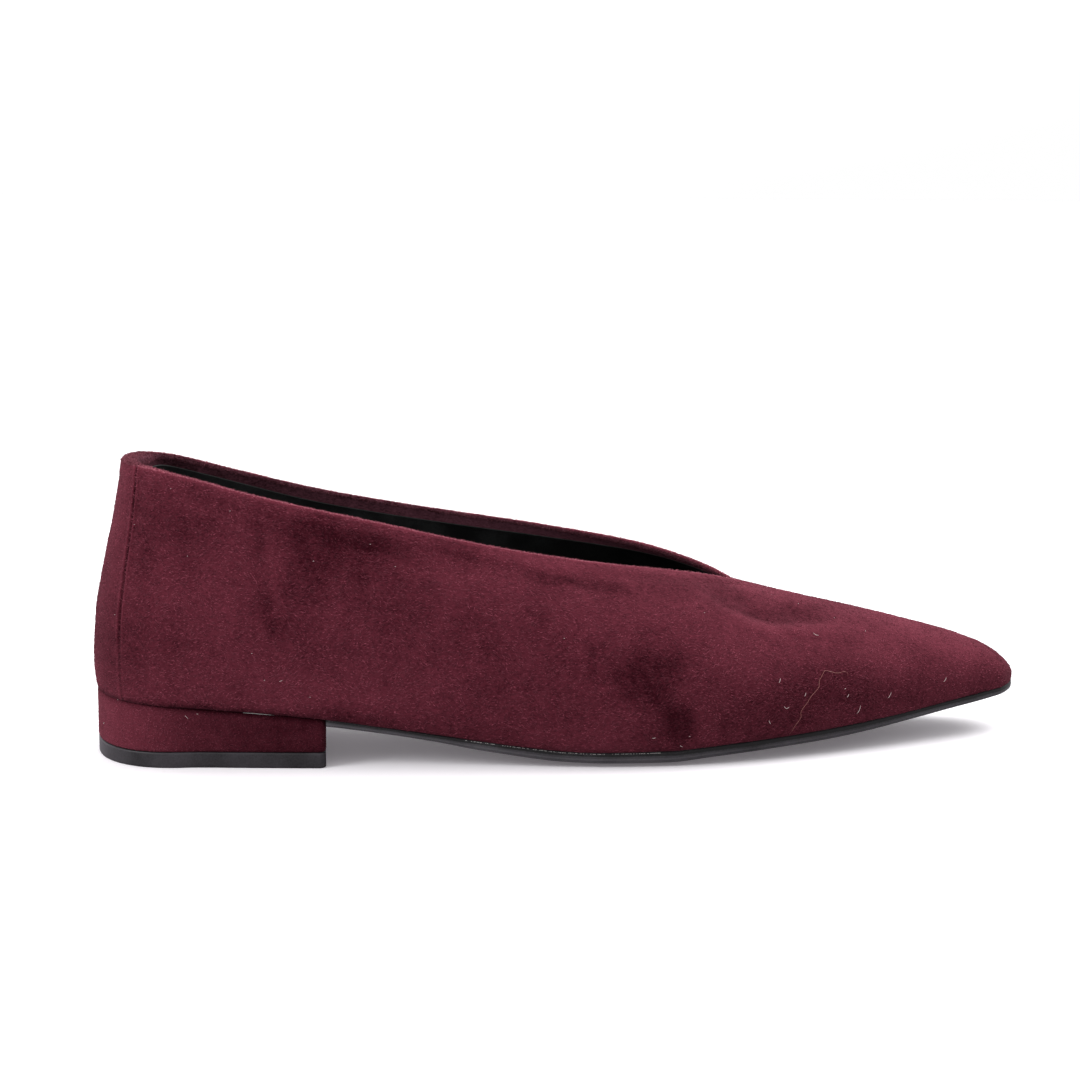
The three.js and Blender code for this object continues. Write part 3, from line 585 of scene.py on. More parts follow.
def build_upper():
    x, angle = shoe_stations()
    margins = np.arange(MARGIN_STEPS) / MARGIN_STEPS
    turns = np.arange(ROLL_STEPS) / ROLL_STEPS
    shares = 1 - np.linspace(1, 0, ARCH_STEPS) ** 1.15
    inner_turns = np.arange(INNER_ROLL_STEPS) / INNER_ROLL_STEPS
    facing = 1 - 0.22 * np.linspace(1, 0, FACING_STEPS) ** 1.3
    inner_shares = np.concatenate([np.linspace(0, facing[0], INNER_STEPS)[:-1], facing])
    outer, inner = [loop_of(*[skin(side, x, angle, *sizes) for side in (LATERAL, MEDIAL)])
                    for sizes in ((False, margins, turns, shares),
                                  (True, margins[:1], inner_turns, inner_shares))]
    loop_x, loop_angle = loop_of(x, x), loop_of(angle, angle)
    closed = loop_x >= THROAT
    count = len(outer)
    side = np.where(np.arange(count) < len(x), LATERAL, MEDIAL)
    normals = loop_normals(outer, closed)
    up = np.concatenate([np.zeros(MARGIN_STEPS + ROLL_STEPS), shares])
    steps = np.linalg.norm(np.diff(outer, axis=1), axis=-1)
    from_top = np.pad(np.cumsum(steps[:, ::-1], 1)[:, ::-1], ((0, 0), (0, 1)))
    details = (side, loop_angle, up, from_top, closed)
    tone = nap_and_painted_light_tone(outer, *details)
    outer = blunted(outer + normals * relief(outer, *details)[..., None])
    rim = rim_points(outer[:, -1], inner[:, -1], loop_x)
    inwards = np.linspace(0, 1, rim.shape[1])
    # Painted highlight on the outer part of the rounded rim, falling to a darker tone on its inner part
    rim_highlight = 0.55 - 0.75 * smooth_step(inwards / 0.6)
    strip = band(inwards, RIM_STRIP_TONE)
    off_strip = smooth_step((loop_x - 4) / 9)[:, None]
    rim_tone = strip + (rim_highlight - strip) * off_strip
    rim_inside = np.broadcast_to(smooth_step((inwards - 0.3) / 0.4), rim.shape[:2])
    # Painted shade inside the wall, partly the nap's darker tone, lifted by painted light towards the
    # throat
    forward = smooth_step((loop_x - 20) / (THROAT - 20))
    inner_shade_tone = np.broadcast_to((INNER_SHADE_AND_NAP + INNER_LIGHT_RISE * forward)[:, None], inner.shape[:2])
    parts = [outer, inner, rim]
    starts = np.cumsum([0] + [part.shape[0] * part.shape[1] for part in parts])
    quads = [grid_quads(count, outer.shape[1], True, starts[0]),
             grid_quads(count, inner.shape[1], True, starts[1])]
    out_at, in_at, rim_at = [start + np.arange(part[..., 0].size).reshape(part.shape[:2])
                             for start, part in zip(starts, parts)]
    out_foot, in_foot = out_at[:, 0], in_at[:, 0]
    quads.append(np.stack([out_foot, np.roll(out_foot, -1), np.roll(in_foot, -1), in_foot], -1))
    is_open = (loop_x <= THROAT) & (np.roll(loop_x, -1) <= THROAT)
    index = np.concatenate([out_at[:, -1:], rim_at, in_at[:, -1:]], 1)
    a, b = index[is_open], np.roll(index, -1, 0)[is_open]
    quads.append(np.stack([a[:, :-1], b[:, :-1], b[:, 1:], a[:, 1:]], -1).reshape(-1, 4))
    points = np.concatenate([part.reshape(-1, 3) for part in parts])
    tones = np.concatenate([part.ravel() for part in (tone, inner_shade_tone, rim_tone)])
    inside = np.concatenate([np.zeros(tone.size), np.ones(inner_shade_tone.size), rim_inside.ravel()])
    # The mark holds the nap's tone together with painted shade and painted highlights
    make_piece("upper_suede", points, np.concatenate(quads), "suede", ["upper"],
               marks={"nap_and_painted_light": tones, "inside": inside})
    return {"outer": outer, "normals": normals, "tone": tone, "side": side, "is_open": is_open,
            "rim": np.concatenate([outer[:, -1:], rim, inner[:, -1:]], 1), "off_strip": off_strip}


# The nap: fibres that lie nearly flat on the suede
SIDE_FIBRES, EDGE_FIBRES, HEEL_FIBRES = 46000, 16000, 14000
FIBRE_WIDTH, FIBRE_ROOT = 0.19, 0.04
FIBRE_SPREAD, FIBRE_TURNED = 0.36, 0.3
# For each patch: length in millimetres, lift in degrees and ends of the random tone
SIDE_NAP = {"length": (0.4, 1.15), "lift": (2, 18), "spread": (-0.12, 0.8)}
EDGE_NAP = {"length": (0.2, 0.7), "lift": (15, 65), "spread": (-0.2, 0.5)}
HEEL_NAP = {"length": (0.25, 0.8), "lift": (2, 16), "spread": (-0.1, 0.5)}
NAP_SKEW, NAP_CALM = 2.5, 1.7


def scattered(points, weights, count):
    """Random places on a grid of points: a quad is drawn with a chance by its area times its
    weight, and the place in it is even. Returns the quads' rows and columns, and both shares."""
    across = points[1:, :-1] - points[:-1, :-1]
    upwards = points[:-1, 1:] - points[:-1, :-1]
    area = np.linalg.norm(np.cross(across, upwards), axis=-1) * weights
    chosen = random.choice(area.size, count, p=area.ravel() / area.sum())
    row, column = np.unravel_index(chosen, area.shape)
    return row, column, random.random(count), random.random(count)


def between(values, row, column, u, v):
    """Value inside quads of a grid, mixed evenly from their four corners."""
    if values.ndim == 3:
        u, v = u[:, None], v[:, None]
    low = values[row, column] * (1 - u) + values[row + 1, column] * u
    high = values[row, column + 1] * (1 - u) + values[row + 1, column + 1] * u
    return low * (1 - v) + high * v


def swirl(points):
    """Way in which the nap lies, in radians from the length of the shoe: crossing sines."""
    x, y, z = np.moveaxis(points, -1, 0)
    wide = np.sin(x / 3.7 + z / 5.1 + 0.4) + np.sin(z / 3.3 - x / 6.2 + y / 7)
    return 0.3 * wide + 0.35 * np.sin(x / 1.1 + z / 1.6) * np.sin(z / 0.9 - x / 2.1 + y / 1.7)


def fibres(name, roots, normals, along, tones, length, lift, finish):
    """One closed spike of three sides for each root, from a small root triangle to a point. It
    lies along the swirl of the nap, a random turn aside, and is lifted by a few degrees."""
    count = len(roots)
    turn = swirl(roots) + random.normal(0, FIBRE_SPREAD, count)
    turn = turn + np.pi * (random.random(count) < FIBRE_TURNED)
    lifted = np.radians(random.uniform(*lift, count))[:, None]
    turn = turn[:, None]
    flat = along * np.cos(turn) + np.cross(normals, along) * np.sin(turn)
    ahead = unit(flat * np.cos(lifted) + normals * np.sin(lifted))
    side = unit(np.cross(ahead, normals))
    rise = np.cross(side, ahead)
    reach = random.uniform(*length, count)[:, None]
    wide = FIBRE_WIDTH * random.uniform(0.6, 1.4, count)[:, None]
    root = roots - normals * FIBRE_ROOT
    corners = np.stack([root + side * wide / 2, root - side * wide / 2, root + rise * wide / 2,
                        root + ahead * reach], 1)
    faces = np.array([(0, 2, 1), (0, 1, 3), (1, 2, 3), (2, 0, 3)])
    triangles = (4 * np.arange(count)[:, None, None] + faces).reshape(-1, 3)
    marks = {"nap_and_painted_light": np.repeat(tones, 4)}
    make_piece(name, corners, triangles, finish, marks=marks, weld=None)


def grown(name, points, normals, tones, weights, count, length, lift, spread, finish="nap"):
    """Fibres scattered over a grid of points. Each has the suede's own tone plus a random part
    between the two ends of spread, more often near the first, and less of it on dark patches."""
    place = scattered(points, weights, count)
    along = np.roll(points, -1, 0) - np.roll(points, 1, 0)
    normal = unit(between(normals, *place))
    ahead = between(along, *place)
    ahead = unit(ahead - normal * (ahead * normal).sum(-1, keepdims=True))
    tone = between(tones, *place)
    lively = np.clip(1 + NAP_CALM * tone, 0.4, 1.2)
    tone = tone + (spread[0] + np.ptp(spread) * random.random(count) ** NAP_SKEW) * lively
    fibres(name, between(points, *place), normal, ahead, tone, length, lift, finish)


def build_nap(upper):
    outer, normals, tone = upper["outer"], upper["normals"], upper["tone"]
    shown = np.concatenate([np.zeros(MARGIN_STEPS + 1), np.ones(outer.shape[1] - MARGIN_STEPS - 2)])
    for name, side in (("nap_outer_side", LATERAL), ("nap_inner_side", MEDIAL)):
        weights = (upper["side"][:-1] == side)[:, None] * shown[None, :]
        grown(name, outer, normals, tone, weights, SIDE_FIBRES, **SIDE_NAP)
    rim = upper["rim"]
    around = np.roll(rim, -1, 0) - np.roll(rim, 1, 0)
    rim_normals = unit(np.cross(np.gradient(rim, axis=1), around))
    is_open = upper["is_open"][:-1, None] * np.ones(rim.shape[1] - 1)
    inwards = smooth_step(np.linspace(0, 1, rim.shape[1]) / 0.6)
    # Painted highlight: the topline's fibres are lightest at the outer edge
    tones = -0.25 + (0.75 - 0.95 * inwards) * upper["off_strip"]
    weights = is_open * (1.6 - inwards[None, 1:])
    grown("nap_topline", rim, rim_normals, tones, weights, EDGE_FIBRES, **EDGE_NAP, finish="nap_edge_highlight")


# Slabs and blocks under the foot
ACROSS_STEPS, EDGE_STEPS = 33, 15
SOCK_ROUND = 0.6
EDGE_LINES = table("level depth", [(0.3, 0.1), (0.56, 0.14), (0.8, 0.07)])
EDGE_LINE_WIDTH = 0.045
EDGE_ROUND = 0.3
# Painted shade on the sole's edge: darker on the upper part under the overhanging upper, lighter below,
# darker in the grooves
EDGE_SHADE, EDGE_LIT, GROOVE_SHADE = -0.36, 0.34, 0.25
FRONT_SHADE, FRONT_FROM, FRONT_REACH = 0.3, 150, 25


def edge_lines(level):
    """Each fine groove's share at a level of the edge, as a bell over its own level."""
    return band(level[:, None] - EDGE_LINES["level"], (0, EDGE_LINE_WIDTH, 1))


def slab_rows(places, top_inset, bottom_inset, top_height, bottom_height, radius, lines=0.0):
    """Closed cross profiles along the shoe: the top from the outer to the inner side, a rounded
    edge, the bottom back again and the other rounded edge. The edge is a half superellipse, with
    lines as a share of the fine grooves that run along it. Returns the rows and the level of
    each point on the edge, 0 at the top and 1 at the bottom."""
    across = np.linspace(-1, 1, ACROSS_STEPS)
    ends = []
    for inset in (top_inset, bottom_inset):
        ends.append([np.stack(outline_point(side, places, inset(side, places)), -1)
                     for side in (LATERAL, MEDIAL)])

    def layer(pair, inward, height):
        width = np.linalg.norm(pair[1] - pair[0], axis=-1)[:, None]
        share = 0.5 + across[None, :] / 2 * np.maximum(0, 1 - 2 * inward / np.maximum(width, 1e-6))
        flat = pair[0][:, None] + (pair[1] - pair[0])[:, None] * share[..., None]
        reach = np.where((places <= 0) | (places >= LENGTH), 1, 0)[:, None]
        z = height(flat[..., 0], np.maximum(np.abs(2 * share - 1), reach))
        return np.concatenate([flat, z[..., None]], -1)

    top = layer(ends[0], radius, top_height)
    bottom = layer(ends[1], radius, bottom_height)[:, ::-1]
    edges = []
    levels = np.linspace(0, 1, EDGE_STEPS + 2)[1:-1]
    for first, last, side in ((top[:, -1], bottom[:, 0], 1), (bottom[:, -1], top[:, 0], 0)):
        level = levels if side else 1 - levels
        grooves = lines * (EDGE_LINES["depth"] * edge_lines(level)).sum(1)[None, :, None]
        share = levels[None, :, None]
        middle = first[:, None] * (1 - share) + last[:, None] * share
        outward = ends[0][side] - (first[:, :2] + last[:, :2]) / 2
        bulge = np.sin(share * np.pi) ** 0.5
        middle[..., :2] += outward[:, None] * bulge - unit(outward)[:, None] * grooves
        edges.append(middle)
    flat = np.full(ACROSS_STEPS, 0.5)
    level = np.concatenate([flat, levels, flat, 1 - levels])
    return np.concatenate([top, edges[0], bottom, edges[1]], 1), level


def slab_piece(name, rows, level, finish, replaces):
    """Closed piece from closed cross profiles: a tube of quads with a flat cap at each end. The
    mark is painted shade and light: darker on the upper half of the edge, under the upper that
    hangs over it, lighter on the lower half, darker in the fine grooves and darker in front."""
    count, around = rows.shape[:2]
    wrapped = np.concatenate([rows, rows[:, :1]], 1)
    level = np.append(level, level[0])
    # Painted shade on the upper part of the edge, lighter lower down, and painted shade in the grooves
    painted_light = EDGE_SHADE + (EDGE_LIT - EDGE_SHADE) * smooth_step((level - 0.3) / 0.3)
    painted_light = painted_light - GROOVE_SHADE * edge_lines(level).sum(1)
    quads = grid_quads(count, around + 1)
    caps = [tuple(range(around)), tuple((count - 1) * (around + 1) + k for k in range(around))]
    front = smooth_step((wrapped[..., 0] - FRONT_FROM) / FRONT_REACH)
    marks = {"painted_light": painted_light - FRONT_SHADE * front}
    make_piece(name, wrapped, quads, finish, replaces, marks=marks, caps=caps)


def side_places(start=0.0):
    x = shoe_stations()[0][::2]
    return np.concatenate([[start], x[x > start + 0.5]]) if start else np.append(x, LENGTH)


def build_insole():
    def inset(side, x):
        return np.maximum(roll_inset(side, x), plan_depth(x, WALL)) + INSOLE_EASE

    def low(x, across):
        return underside_height(x, across) + WALL + GAP

    def high(x, across):
        pared = (INSOLE_TOE_THICKNESS - INSOLE_THICKNESS) * stiffened(x)
        return low(x, across) + INSOLE_THICKNESS + pared

    rows, level = slab_rows(side_places(), inset, inset, high, low, SOCK_ROUND)
    slab_piece("insole_sock", rows, level, "sock", ["insole"])


def extra_depth(x):
    """Thickness in millimetres that the sole gains, most under the arch and least at the tip."""
    arch = 0.35 * smooth_step((x - 92) / 12) * smooth_step((136 - x) / 20)
    return arch + 0.6 * (1 - 0.6 * smooth_step((x - 244) / 17)) - 0.05 * smooth_step((x - 176) / 18)


def build_outsole():
    def inset(side, x):
        return roll_inset(side, x) + SOLE_INSET * (1 - 2 * stiffened(x))

    def top(x, across):
        return underside_height(x, across) - TOUCH

    def bottom(x, across):
        return np.maximum(top(x, across) - sole_thickness(x) - extra_depth(x), 0)

    def bottom_inset(side, x):
        return inset(side, x) + EDGE_ROUND * (1 - stiffened(x))

    places = side_places(HEEL_LENGTH + TOUCH)
    rows, level = slab_rows(places, inset, bottom_inset, top, bottom, EDGE_ROUND, 1.0)
    slab_piece("outsole_tread", blunted(rows), level, "sole_rubber", ["outsole"])


BREAST_CORNER = 1.7
COVER_RINGS = 6
RING_SHARES = (0.0, 0.5, 0.9, 0.985)
COVER_EDGE, LIFT_EDGE = 0.9, 0.4
LIFT_SHADE = -0.26
# Painted shade under the joint of the heel cover with the upper
COVER_JOINT_SHADE = (0, 1.1, 0.3)


def heel_contour(z, inward=0.0):
    """Outline of the heel at each height in z: centre back, outer side, a rounded corner, the
    straight breast, the other corner and the inner side. Returns heights by contour points."""
    corner = np.linspace(0, np.pi / 2, 9)
    back = HEEL_ROUND * (1 - np.cos(np.linspace(0, np.pi / 2, 60)))
    x = np.concatenate([back, np.linspace(HEEL_ROUND, HEEL_LENGTH - BREAST_CORNER, 40)[1:]])
    z = np.asarray(z, float)[:, None]
    sides = []
    for side in (LATERAL, MEDIAL):
        proud = HEEL_PROUD * np.clip(1 - x / HEEL_ROUND, 0, 1)
        inset = roll_inset(side, x) + SOLE_INSET - proud + np.asarray(inward)[..., None]
        wall = np.stack(outline_point(side, x + 0 * z, inset), -1)
        end = wall[:, -1:, :]
        turn_x = end[..., 0] + BREAST_CORNER * np.sin(corner)[None, 1:]
        turn_y = end[..., 1] - side * BREAST_CORNER * (1 - np.cos(corner))[None, 1:]
        turned = np.stack([turn_x - np.asarray(inward)[..., None], turn_y], -1)
        sides.append(np.concatenate([wall, turned], 1))
    share = np.linspace(0, 1, 40)[None, 1:-1, None]
    breast = sides[0][:, -1:] * (1 - share) + sides[1][:, -1:] * share
    return np.concatenate([sides[0], breast, sides[1][:, :0:-1]], 1)


def block_piece(name, bottom, top_at, levels, edge, finish, replaces):
    """Block on the heel outline: concentric rings over the bottom, a rounded lower edge, the
    wall, a rounded upper edge and concentric rings over the top, which follows the seat."""
    turn = np.linspace(0, np.pi / 2, 5)
    low, high = edge * (1 - np.sin(turn)), edge * (1 - np.cos(turn))
    rings = []
    base = heel_contour([bottom])[0]
    centre = np.array([base[:, 0].mean(), base[:, 1].mean()])

    def top_height(flat):
        y = np.abs(flat[:, 1] - centre_line(flat[:, 0]))
        full = np.maximum(1, half_width(LATERAL, flat[:, 0]) - roll_inset(LATERAL, flat[:, 0]))
        return top_at(flat[:, 0], np.minimum(1, y / full))

    def ring(z, inward, share=1.0):
        flat = heel_contour([z], [inward])[0]
        return centre + (flat - centre) * share

    def add(flat, z):
        rings.append(np.concatenate([flat, np.broadcast_to(z, (len(flat),))[:, None]], 1))

    for share in RING_SHARES:
        add(ring(bottom, edge, share), bottom)
    for inward, rise in zip(low, high):
        add(ring(bottom + rise, inward), bottom + rise)
    upper_z = top_height(ring(SEAT_HEIGHT, 0.0))
    for level in np.linspace(0, 1, levels)[1:-1]:
        z = bottom + edge + (upper_z - edge - bottom - edge) * level
        add(ring(float(z.mean()), 0.0), z)
    for inward, drop in zip(low[::-1], low):
        add(ring(SEAT_HEIGHT, inward), upper_z - drop)
    for share in RING_SHARES[::-1]:
        flat = ring(SEAT_HEIGHT, edge, share)
        add(flat, top_height(flat))
    rows = np.array(rings)
    wrapped = np.concatenate([rows, rows[:, :1]], 1)
    below = np.append(upper_z, upper_z[0])[None, :] - wrapped[..., 2]
    # Painted light on the heel cover: lighter at the back, painted shade towards the breast and under
    # the joint
    tones = 0.15 - 0.5 * smooth_step((wrapped[..., 0] - 1) / 48) - band(below, COVER_JOINT_SHADE)
    # Painted light on the heel lift: lighter towards the back
    painted_light = 0.1 * smooth_step(1 - wrapped[..., 0] / 60) + 0.4 * smooth_step(1 - wrapped[..., 0] / 12)
    make_piece(name, wrapped, grid_quads(*wrapped.shape[:2]), finish, replaces,
               marks={"nap_and_painted_light": tones, "painted_light": LIFT_SHADE + painted_light})
    return wrapped, tones


def build_heel():
    rows, tones = block_piece("heel_cover", TOP_PIECE_THICKNESS + TOUCH,
                              lambda x, a: underside_height(x, a) - TOUCH, 22, COVER_EDGE,
                              "heel_suede", ["heel_block"])
    block_piece("heel_lift", 0, lambda x, a: 0 * x + TOP_PIECE_THICKNESS, 10, LIFT_EDGE,
                "heel_rubber", ["heel_top_piece"])
    wall = slice(COVER_RINGS, -COVER_RINGS)
    grid, tones = np.swapaxes(rows[wall], 0, 1), np.swapaxes(tones[wall], 0, 1)
    around = np.roll(grid, -1, 0) - np.roll(grid, 1, 0)
    outward = -unit(np.cross(np.gradient(grid, axis=1), around))
    weights = np.ones((grid.shape[0] - 1, grid.shape[1] - 1))
    grown("nap_heel", grid, outward, tones, weights, HEEL_FIBRES, **HEEL_NAP)
    near = grid[..., 1].mean(1) < centre_line(grid[:, 0, 0])
    return grid[near], outward[near]


LINING = 0.22
LINING_SHADE, LINING_SHINE = -0.44, 0.2


def build_lining():
    """Black lining inside the wall, from a raised bound edge under the suede facing down to
    behind the sock: one closed shell of a visible and a hidden face."""
    x, angle = shoe_stations()
    x, angle = x[::2], angle[::2]
    drop = np.array([0, 0.03, 0.12, 0.28, 0.45, 0.7])
    raised = np.array([0.05, 0.2, 0.24, 0.24, 0.22, 0.22])
    layers = []
    for side in (LATERAL, MEDIAL):
        tip = arch_point(side, x[:, None], wall_at(x[:, None], 1.0), np.array([[1.0, 0.98]]))
        run = unit(np.gradient(tip[:, 0], axis=0))
        down = tip[:, 0] - tip[:, 1]
        long = np.linalg.norm(down, axis=-1) / 0.02
        lean = np.linalg.norm(np.cross(unit(down), run), axis=-1)
        closed = x >= THROAT
        width = FACING_BACK_WIDTH + (FACING_WIDTH - FACING_BACK_WIDTH) * smooth_step(x / FACING_REACH)
        below = np.where(closed, 0, np.minimum(width / np.maximum(lean, 0.3), 7))
        share = 1 - (below[:, None] + drop[None, :]) / long[:, None]
        down_shares = share[:, -1:] * np.linspace(1, 0, 14)[None, 1:]
        shares = np.concatenate([share, down_shares], 1)
        proud = np.concatenate([raised, np.full(13, LINING)])[None, :]
        proud = np.where(closed[:, None], np.minimum(proud, LINING), proud)
        turns = np.linspace(1, 0, 8)[None, 1:]
        xs = x[:, None]
        arch_x = swayed(xs, angle[:, None], shares)
        foot_x = swayed(xs, angle[:, None], 0.0)
        wall = wall_at(xs, shares)
        shown = [arch_point(side, arch_x, wall + proud, shares),
                 roll_point(side, foot_x, WALL + LINING, turns)]
        hidden = [arch_point(side, arch_x, wall + TOUCH, shares),
                  roll_point(side, foot_x, WALL + TOUCH, turns)]
        layers.append(np.concatenate([np.concatenate(shown, 1), np.concatenate(hidden, 1)[:, ::-1]], 1))
    rows = loop_of(*layers)
    wrapped = np.concatenate([rows, rows[:, :1]], 1)
    quads = grid_quads(*wrapped.shape[:2], around=True)
    shine = smooth_step((wrapped[..., 2] - 62) / 8) * smooth_step((62 - wrapped[..., 0]) / 30)
    make_piece("lining", wrapped, quads, "lining",
               marks={"painted_light": LINING_SHADE + LINING_SHINE * shine})


# Lint, a stray hair and dried glue on the outer side
HAIR = table("at along up", [
    (0.0, 187.3, 7.3), (0.24, 191.2, 14), (0.47, 194.7, 19.5), (0.58, 196.6, 22.2),
    (0.68, 198.6, 24.2), (0.79, 201.1, 22.8), (0.88, 203.1, 23.1), (1.0, 205.6, 22.2)])
LINT = table("along up long turn bend", [
    (204.1, 18.5, 0.5, 40, 0), (205.1, 16.7, 1.0, 60, 0.1), (191.7, 18.2, 1.1, 70, 0.1),
    (186.7, 14.7, 1.6, -10, 0.35), (181.7, 11.6, 1.2, -60, 0.05), (150, 8.2, 1.0, 5, 0.1),
    (157.4, 6.7, 0.9, -30, 0), (158.9, 9.4, 0.4, 0, 0), (184.7, 22.5, 1.3, 65, 0.1),
    (196.2, 32.8, 1.6, -40, 0.2), (208, 12.6, 2.6, 70, 0.12), (218, 15.5, 2.0, 55, 0.15),
    (235.5, 17.6, 1.5, 50, 0.1), (43.9, 31.9, 0.3, 0, 0), (46.3, 24.7, 0.3, 0, 0),
    (51.3, 24.1, 0.9, 20, 0), (58.8, 20.9, 0.3, 0, 0), (7.5, 17.7, 0.3, 0, 0), (7.5, 41, 0.3, 0, 0),
    (22.9, 74.6, 0.3, 0, 0), (37.8, 68.9, 0.3, 0, 0), (13.1, 64.6, 0.3, 0, 0),
    (27, 56.9, 0.3, 0, 0), (164.4, 39.9, 0.35, 0, 0), (125.2, 35.5, 0.3, 0, 0),
    (194.7, 38.7, 0.35, 0, 0), (203.6, 35.4, 0.3, 0, 0), (26.3, 14, 1.2, -45, 0),
    (29.1, 14.6, 0.45, 0, 0), (3.5, 9.5, 0.8, 50, 0), (75.2, 60, 0.4, 0, 0),
    (60.2, 55.5, 0.4, 0, 0), (81, 54.4, 0.3, 0, 0), (212.4, 31.9, 0.5, 45, 0)])
THREAD_SIDES, THREAD_STEPS = 5, 14
HAIR_RADIUS, LINT_RADIUS, GLUE_RADIUS = 0.043, 0.065, 0.065
GLUE_FROM, GLUE_TO, GLUE_DROPS, GLUE_DROP = 99, 152, 150, 0.45


def threads(name, lines, up, radius, finish):
    """Closed thin tubes along centre lines, rounded at both ends: a ring of points round each
    place, at right angles to the line, and a flat cap on the small first and last rings."""
    count, steps = lines.shape[:2]
    run = unit(np.gradient(lines, axis=1))
    aside = unit(np.cross(run, up))
    rise = np.cross(aside, run)
    angle = np.linspace(0, 2 * np.pi, THREAD_SIDES, endpoint=False)[:, None]
    full = np.abs(np.linspace(-1, 1, steps)) ** 6 * 0.85
    ring = np.cos(angle) * aside[:, :, None] + np.sin(angle) * rise[:, :, None]
    points = lines[:, :, None] + ring * (radius * (1 - full))[None, :, None, None]
    j = np.arange(THREAD_SIDES)
    k = np.arange(steps - 1)[:, None] * THREAD_SIDES
    after = (j + 1) % THREAD_SIDES
    faces = np.stack([k + j, k + after, k + THREAD_SIDES + after, k + THREAD_SIDES + j], -1)
    step = steps * THREAD_SIDES
    quads = (np.arange(count)[:, None, None] * step + faces.reshape(-1, 4)).reshape(-1, 4)
    ends = [tuple((n * step + j[::-1]).tolist()) for n in range(count)]
    ends += [tuple(((n + 1) * step - THREAD_SIDES + j).tolist()) for n in range(count)]
    make_piece(name, points, quads, finish, caps=ends, weld=1e-9)


def on_skin(skins, along, up):
    """Nearest points of the suede's outer side to places seen from the side, with normals."""
    skin_points, skin_normals = skins
    flat = np.stack([along, up], -1).reshape(-1, 1, 2)
    nearest = ((skin_points[None, :, ::2] - flat) ** 2).sum(-1).argmin(1)
    shape = np.shape(along) + (3,)
    return skin_points[nearest].reshape(shape), skin_normals[nearest].reshape(shape)


def build_lint(upper, heel):
    near, shown = upper["side"] == LATERAL, slice(MARGIN_STEPS + 2, None)
    skins = [np.concatenate([upper[key][near][:, shown].reshape(-1, 3), part.reshape(-1, 3)])
             for key, part in zip(("outer", "normals"), heel)]
    share = np.linspace(0, 1, 60)
    hair, out = on_skin(skins, curve(HAIR, "along", share), curve(HAIR, "up", share))
    hair[:, 0], hair[:, 2] = curve(HAIR, "along", share), curve(HAIR, "up", share)
    hair[:, 1] = np.convolve(np.pad(hair[:, 1], 3, mode="edge"), np.full(7, 1 / 7), "valid")
    waves = 0.5 * np.sin(share * 17) + 0.25 * np.sin(share * 41 + 1)
    raised = hair + out * (0.25 + 0.3 * np.sin(share * 9) ** 2)[:, None] + waves[:, None] * (1, 0, 0.4)
    threads("stray_hair", raised[None], np.array([0.0, -1.0, 0.3]), HAIR_RADIUS, "hair")
    places, out = on_skin(skins, LINT["along"], LINT["up"])
    turn, s = np.radians(LINT["turn"])[:, None], np.linspace(-0.5, 0.5, THREAD_STEPS)[None, :]
    ahead, aside = s * LINT["long"][:, None], LINT["bend"][:, None] * LINT["long"][:, None] * 4 * s * s
    level = unit(np.cross(out, (0.0, 0.0, 1.0)))[:, None] * -1
    steep = np.cross(out[:, None], level)
    c, d = np.cos(turn), np.sin(turn)
    lines = places[:, None] + level * (ahead * c - aside * d)[..., None]
    lines = lines + steep * (ahead * d + aside * c)[..., None] + out[:, None] * 0.22
    threads("lint", lines, out[:, None], LINT_RADIUS, "lint")
    x = np.sort(random.uniform(GLUE_FROM, GLUE_TO, GLUE_DROPS))
    edge = outline_point(LATERAL, x, roll_inset(LATERAL, x) + SOLE_INSET - 0.04)
    foot = np.stack([*edge, feather_height(x) - GLUE_DROP], -1)
    long = random.uniform(0.1, 0.4, GLUE_DROPS)[:, None]
    drops = foot[:, None] + s[..., None] * long[..., None] * np.array([1.0, 0, 0])
    streak_x = np.linspace(40.5, 49.2, THREAD_STEPS)
    streak, out = on_skin(skins, streak_x, 15.25 - 0.06 * (streak_x - 40.5))
    streak = streak + out * 0.25
    threads("dried_glue", np.concatenate([drops, streak[None]]), np.array([0.0, 0.0, 1.0]),
            GLUE_RADIUS, "glue")


# Finishes
def srgb(red, green, blue):
    """Linear colour of a tone given as 0 to 255."""
    tone = np.array([red, green, blue]) / 255
    linear = np.where(tone > 0.04045, ((tone + 0.055) / 1.055) ** 2.4, tone / 12.92)
    return (*linear.tolist(), 1.0)


def add_node(tree, kind, inputs=None, **settings):
    """A node with its settings; inputs are values or sockets by the socket's name or number."""
    node = tree.nodes.new(kind)
    for label, value in settings.items():
        setattr(node, label, value)
    for label, value in (inputs or {}).items():
        socket = node.inputs[label]
        if isinstance(value, bpy.types.NodeSocket):
            tree.links.new(value, socket)
        else:
            socket.default_value = value
    return node


def maths(tree, operation, first, second=0.0, third=0.0, clamp=False):
    values = {0: first, 1: second, 2: third}
    return add_node(tree, "ShaderNodeMath", values, operation=operation, use_clamp=clamp).outputs[0]


def blend(tree, share, first, second, mode="MIX"):
    node = add_node(tree, "ShaderNodeMix", data_type="RGBA", blend_type=mode)
    for socket, value in zip((node.inputs[0], node.inputs[6], node.inputs[7]), (share, first, second)):
        if isinstance(value, bpy.types.NodeSocket):
            tree.links.new(value, socket)
        else:
            socket.default_value = value
    return node.outputs[2]


def noise(tree, vector, scale, detail=2.0, roughness=0.5):
    values = {"Vector": vector, "Scale": scale, "Detail": detail, "Roughness": roughness}
    return add_node(tree, "ShaderNodeTexNoise", values).outputs["Fac"]


def stretched(tree, vector, scale, turn=(0.0, 0.0, 0.0)):
    values = {"Vector": vector, "Scale": scale, "Rotation": turn}
    return add_node(tree, "ShaderNodeMapping", values).outputs[0]


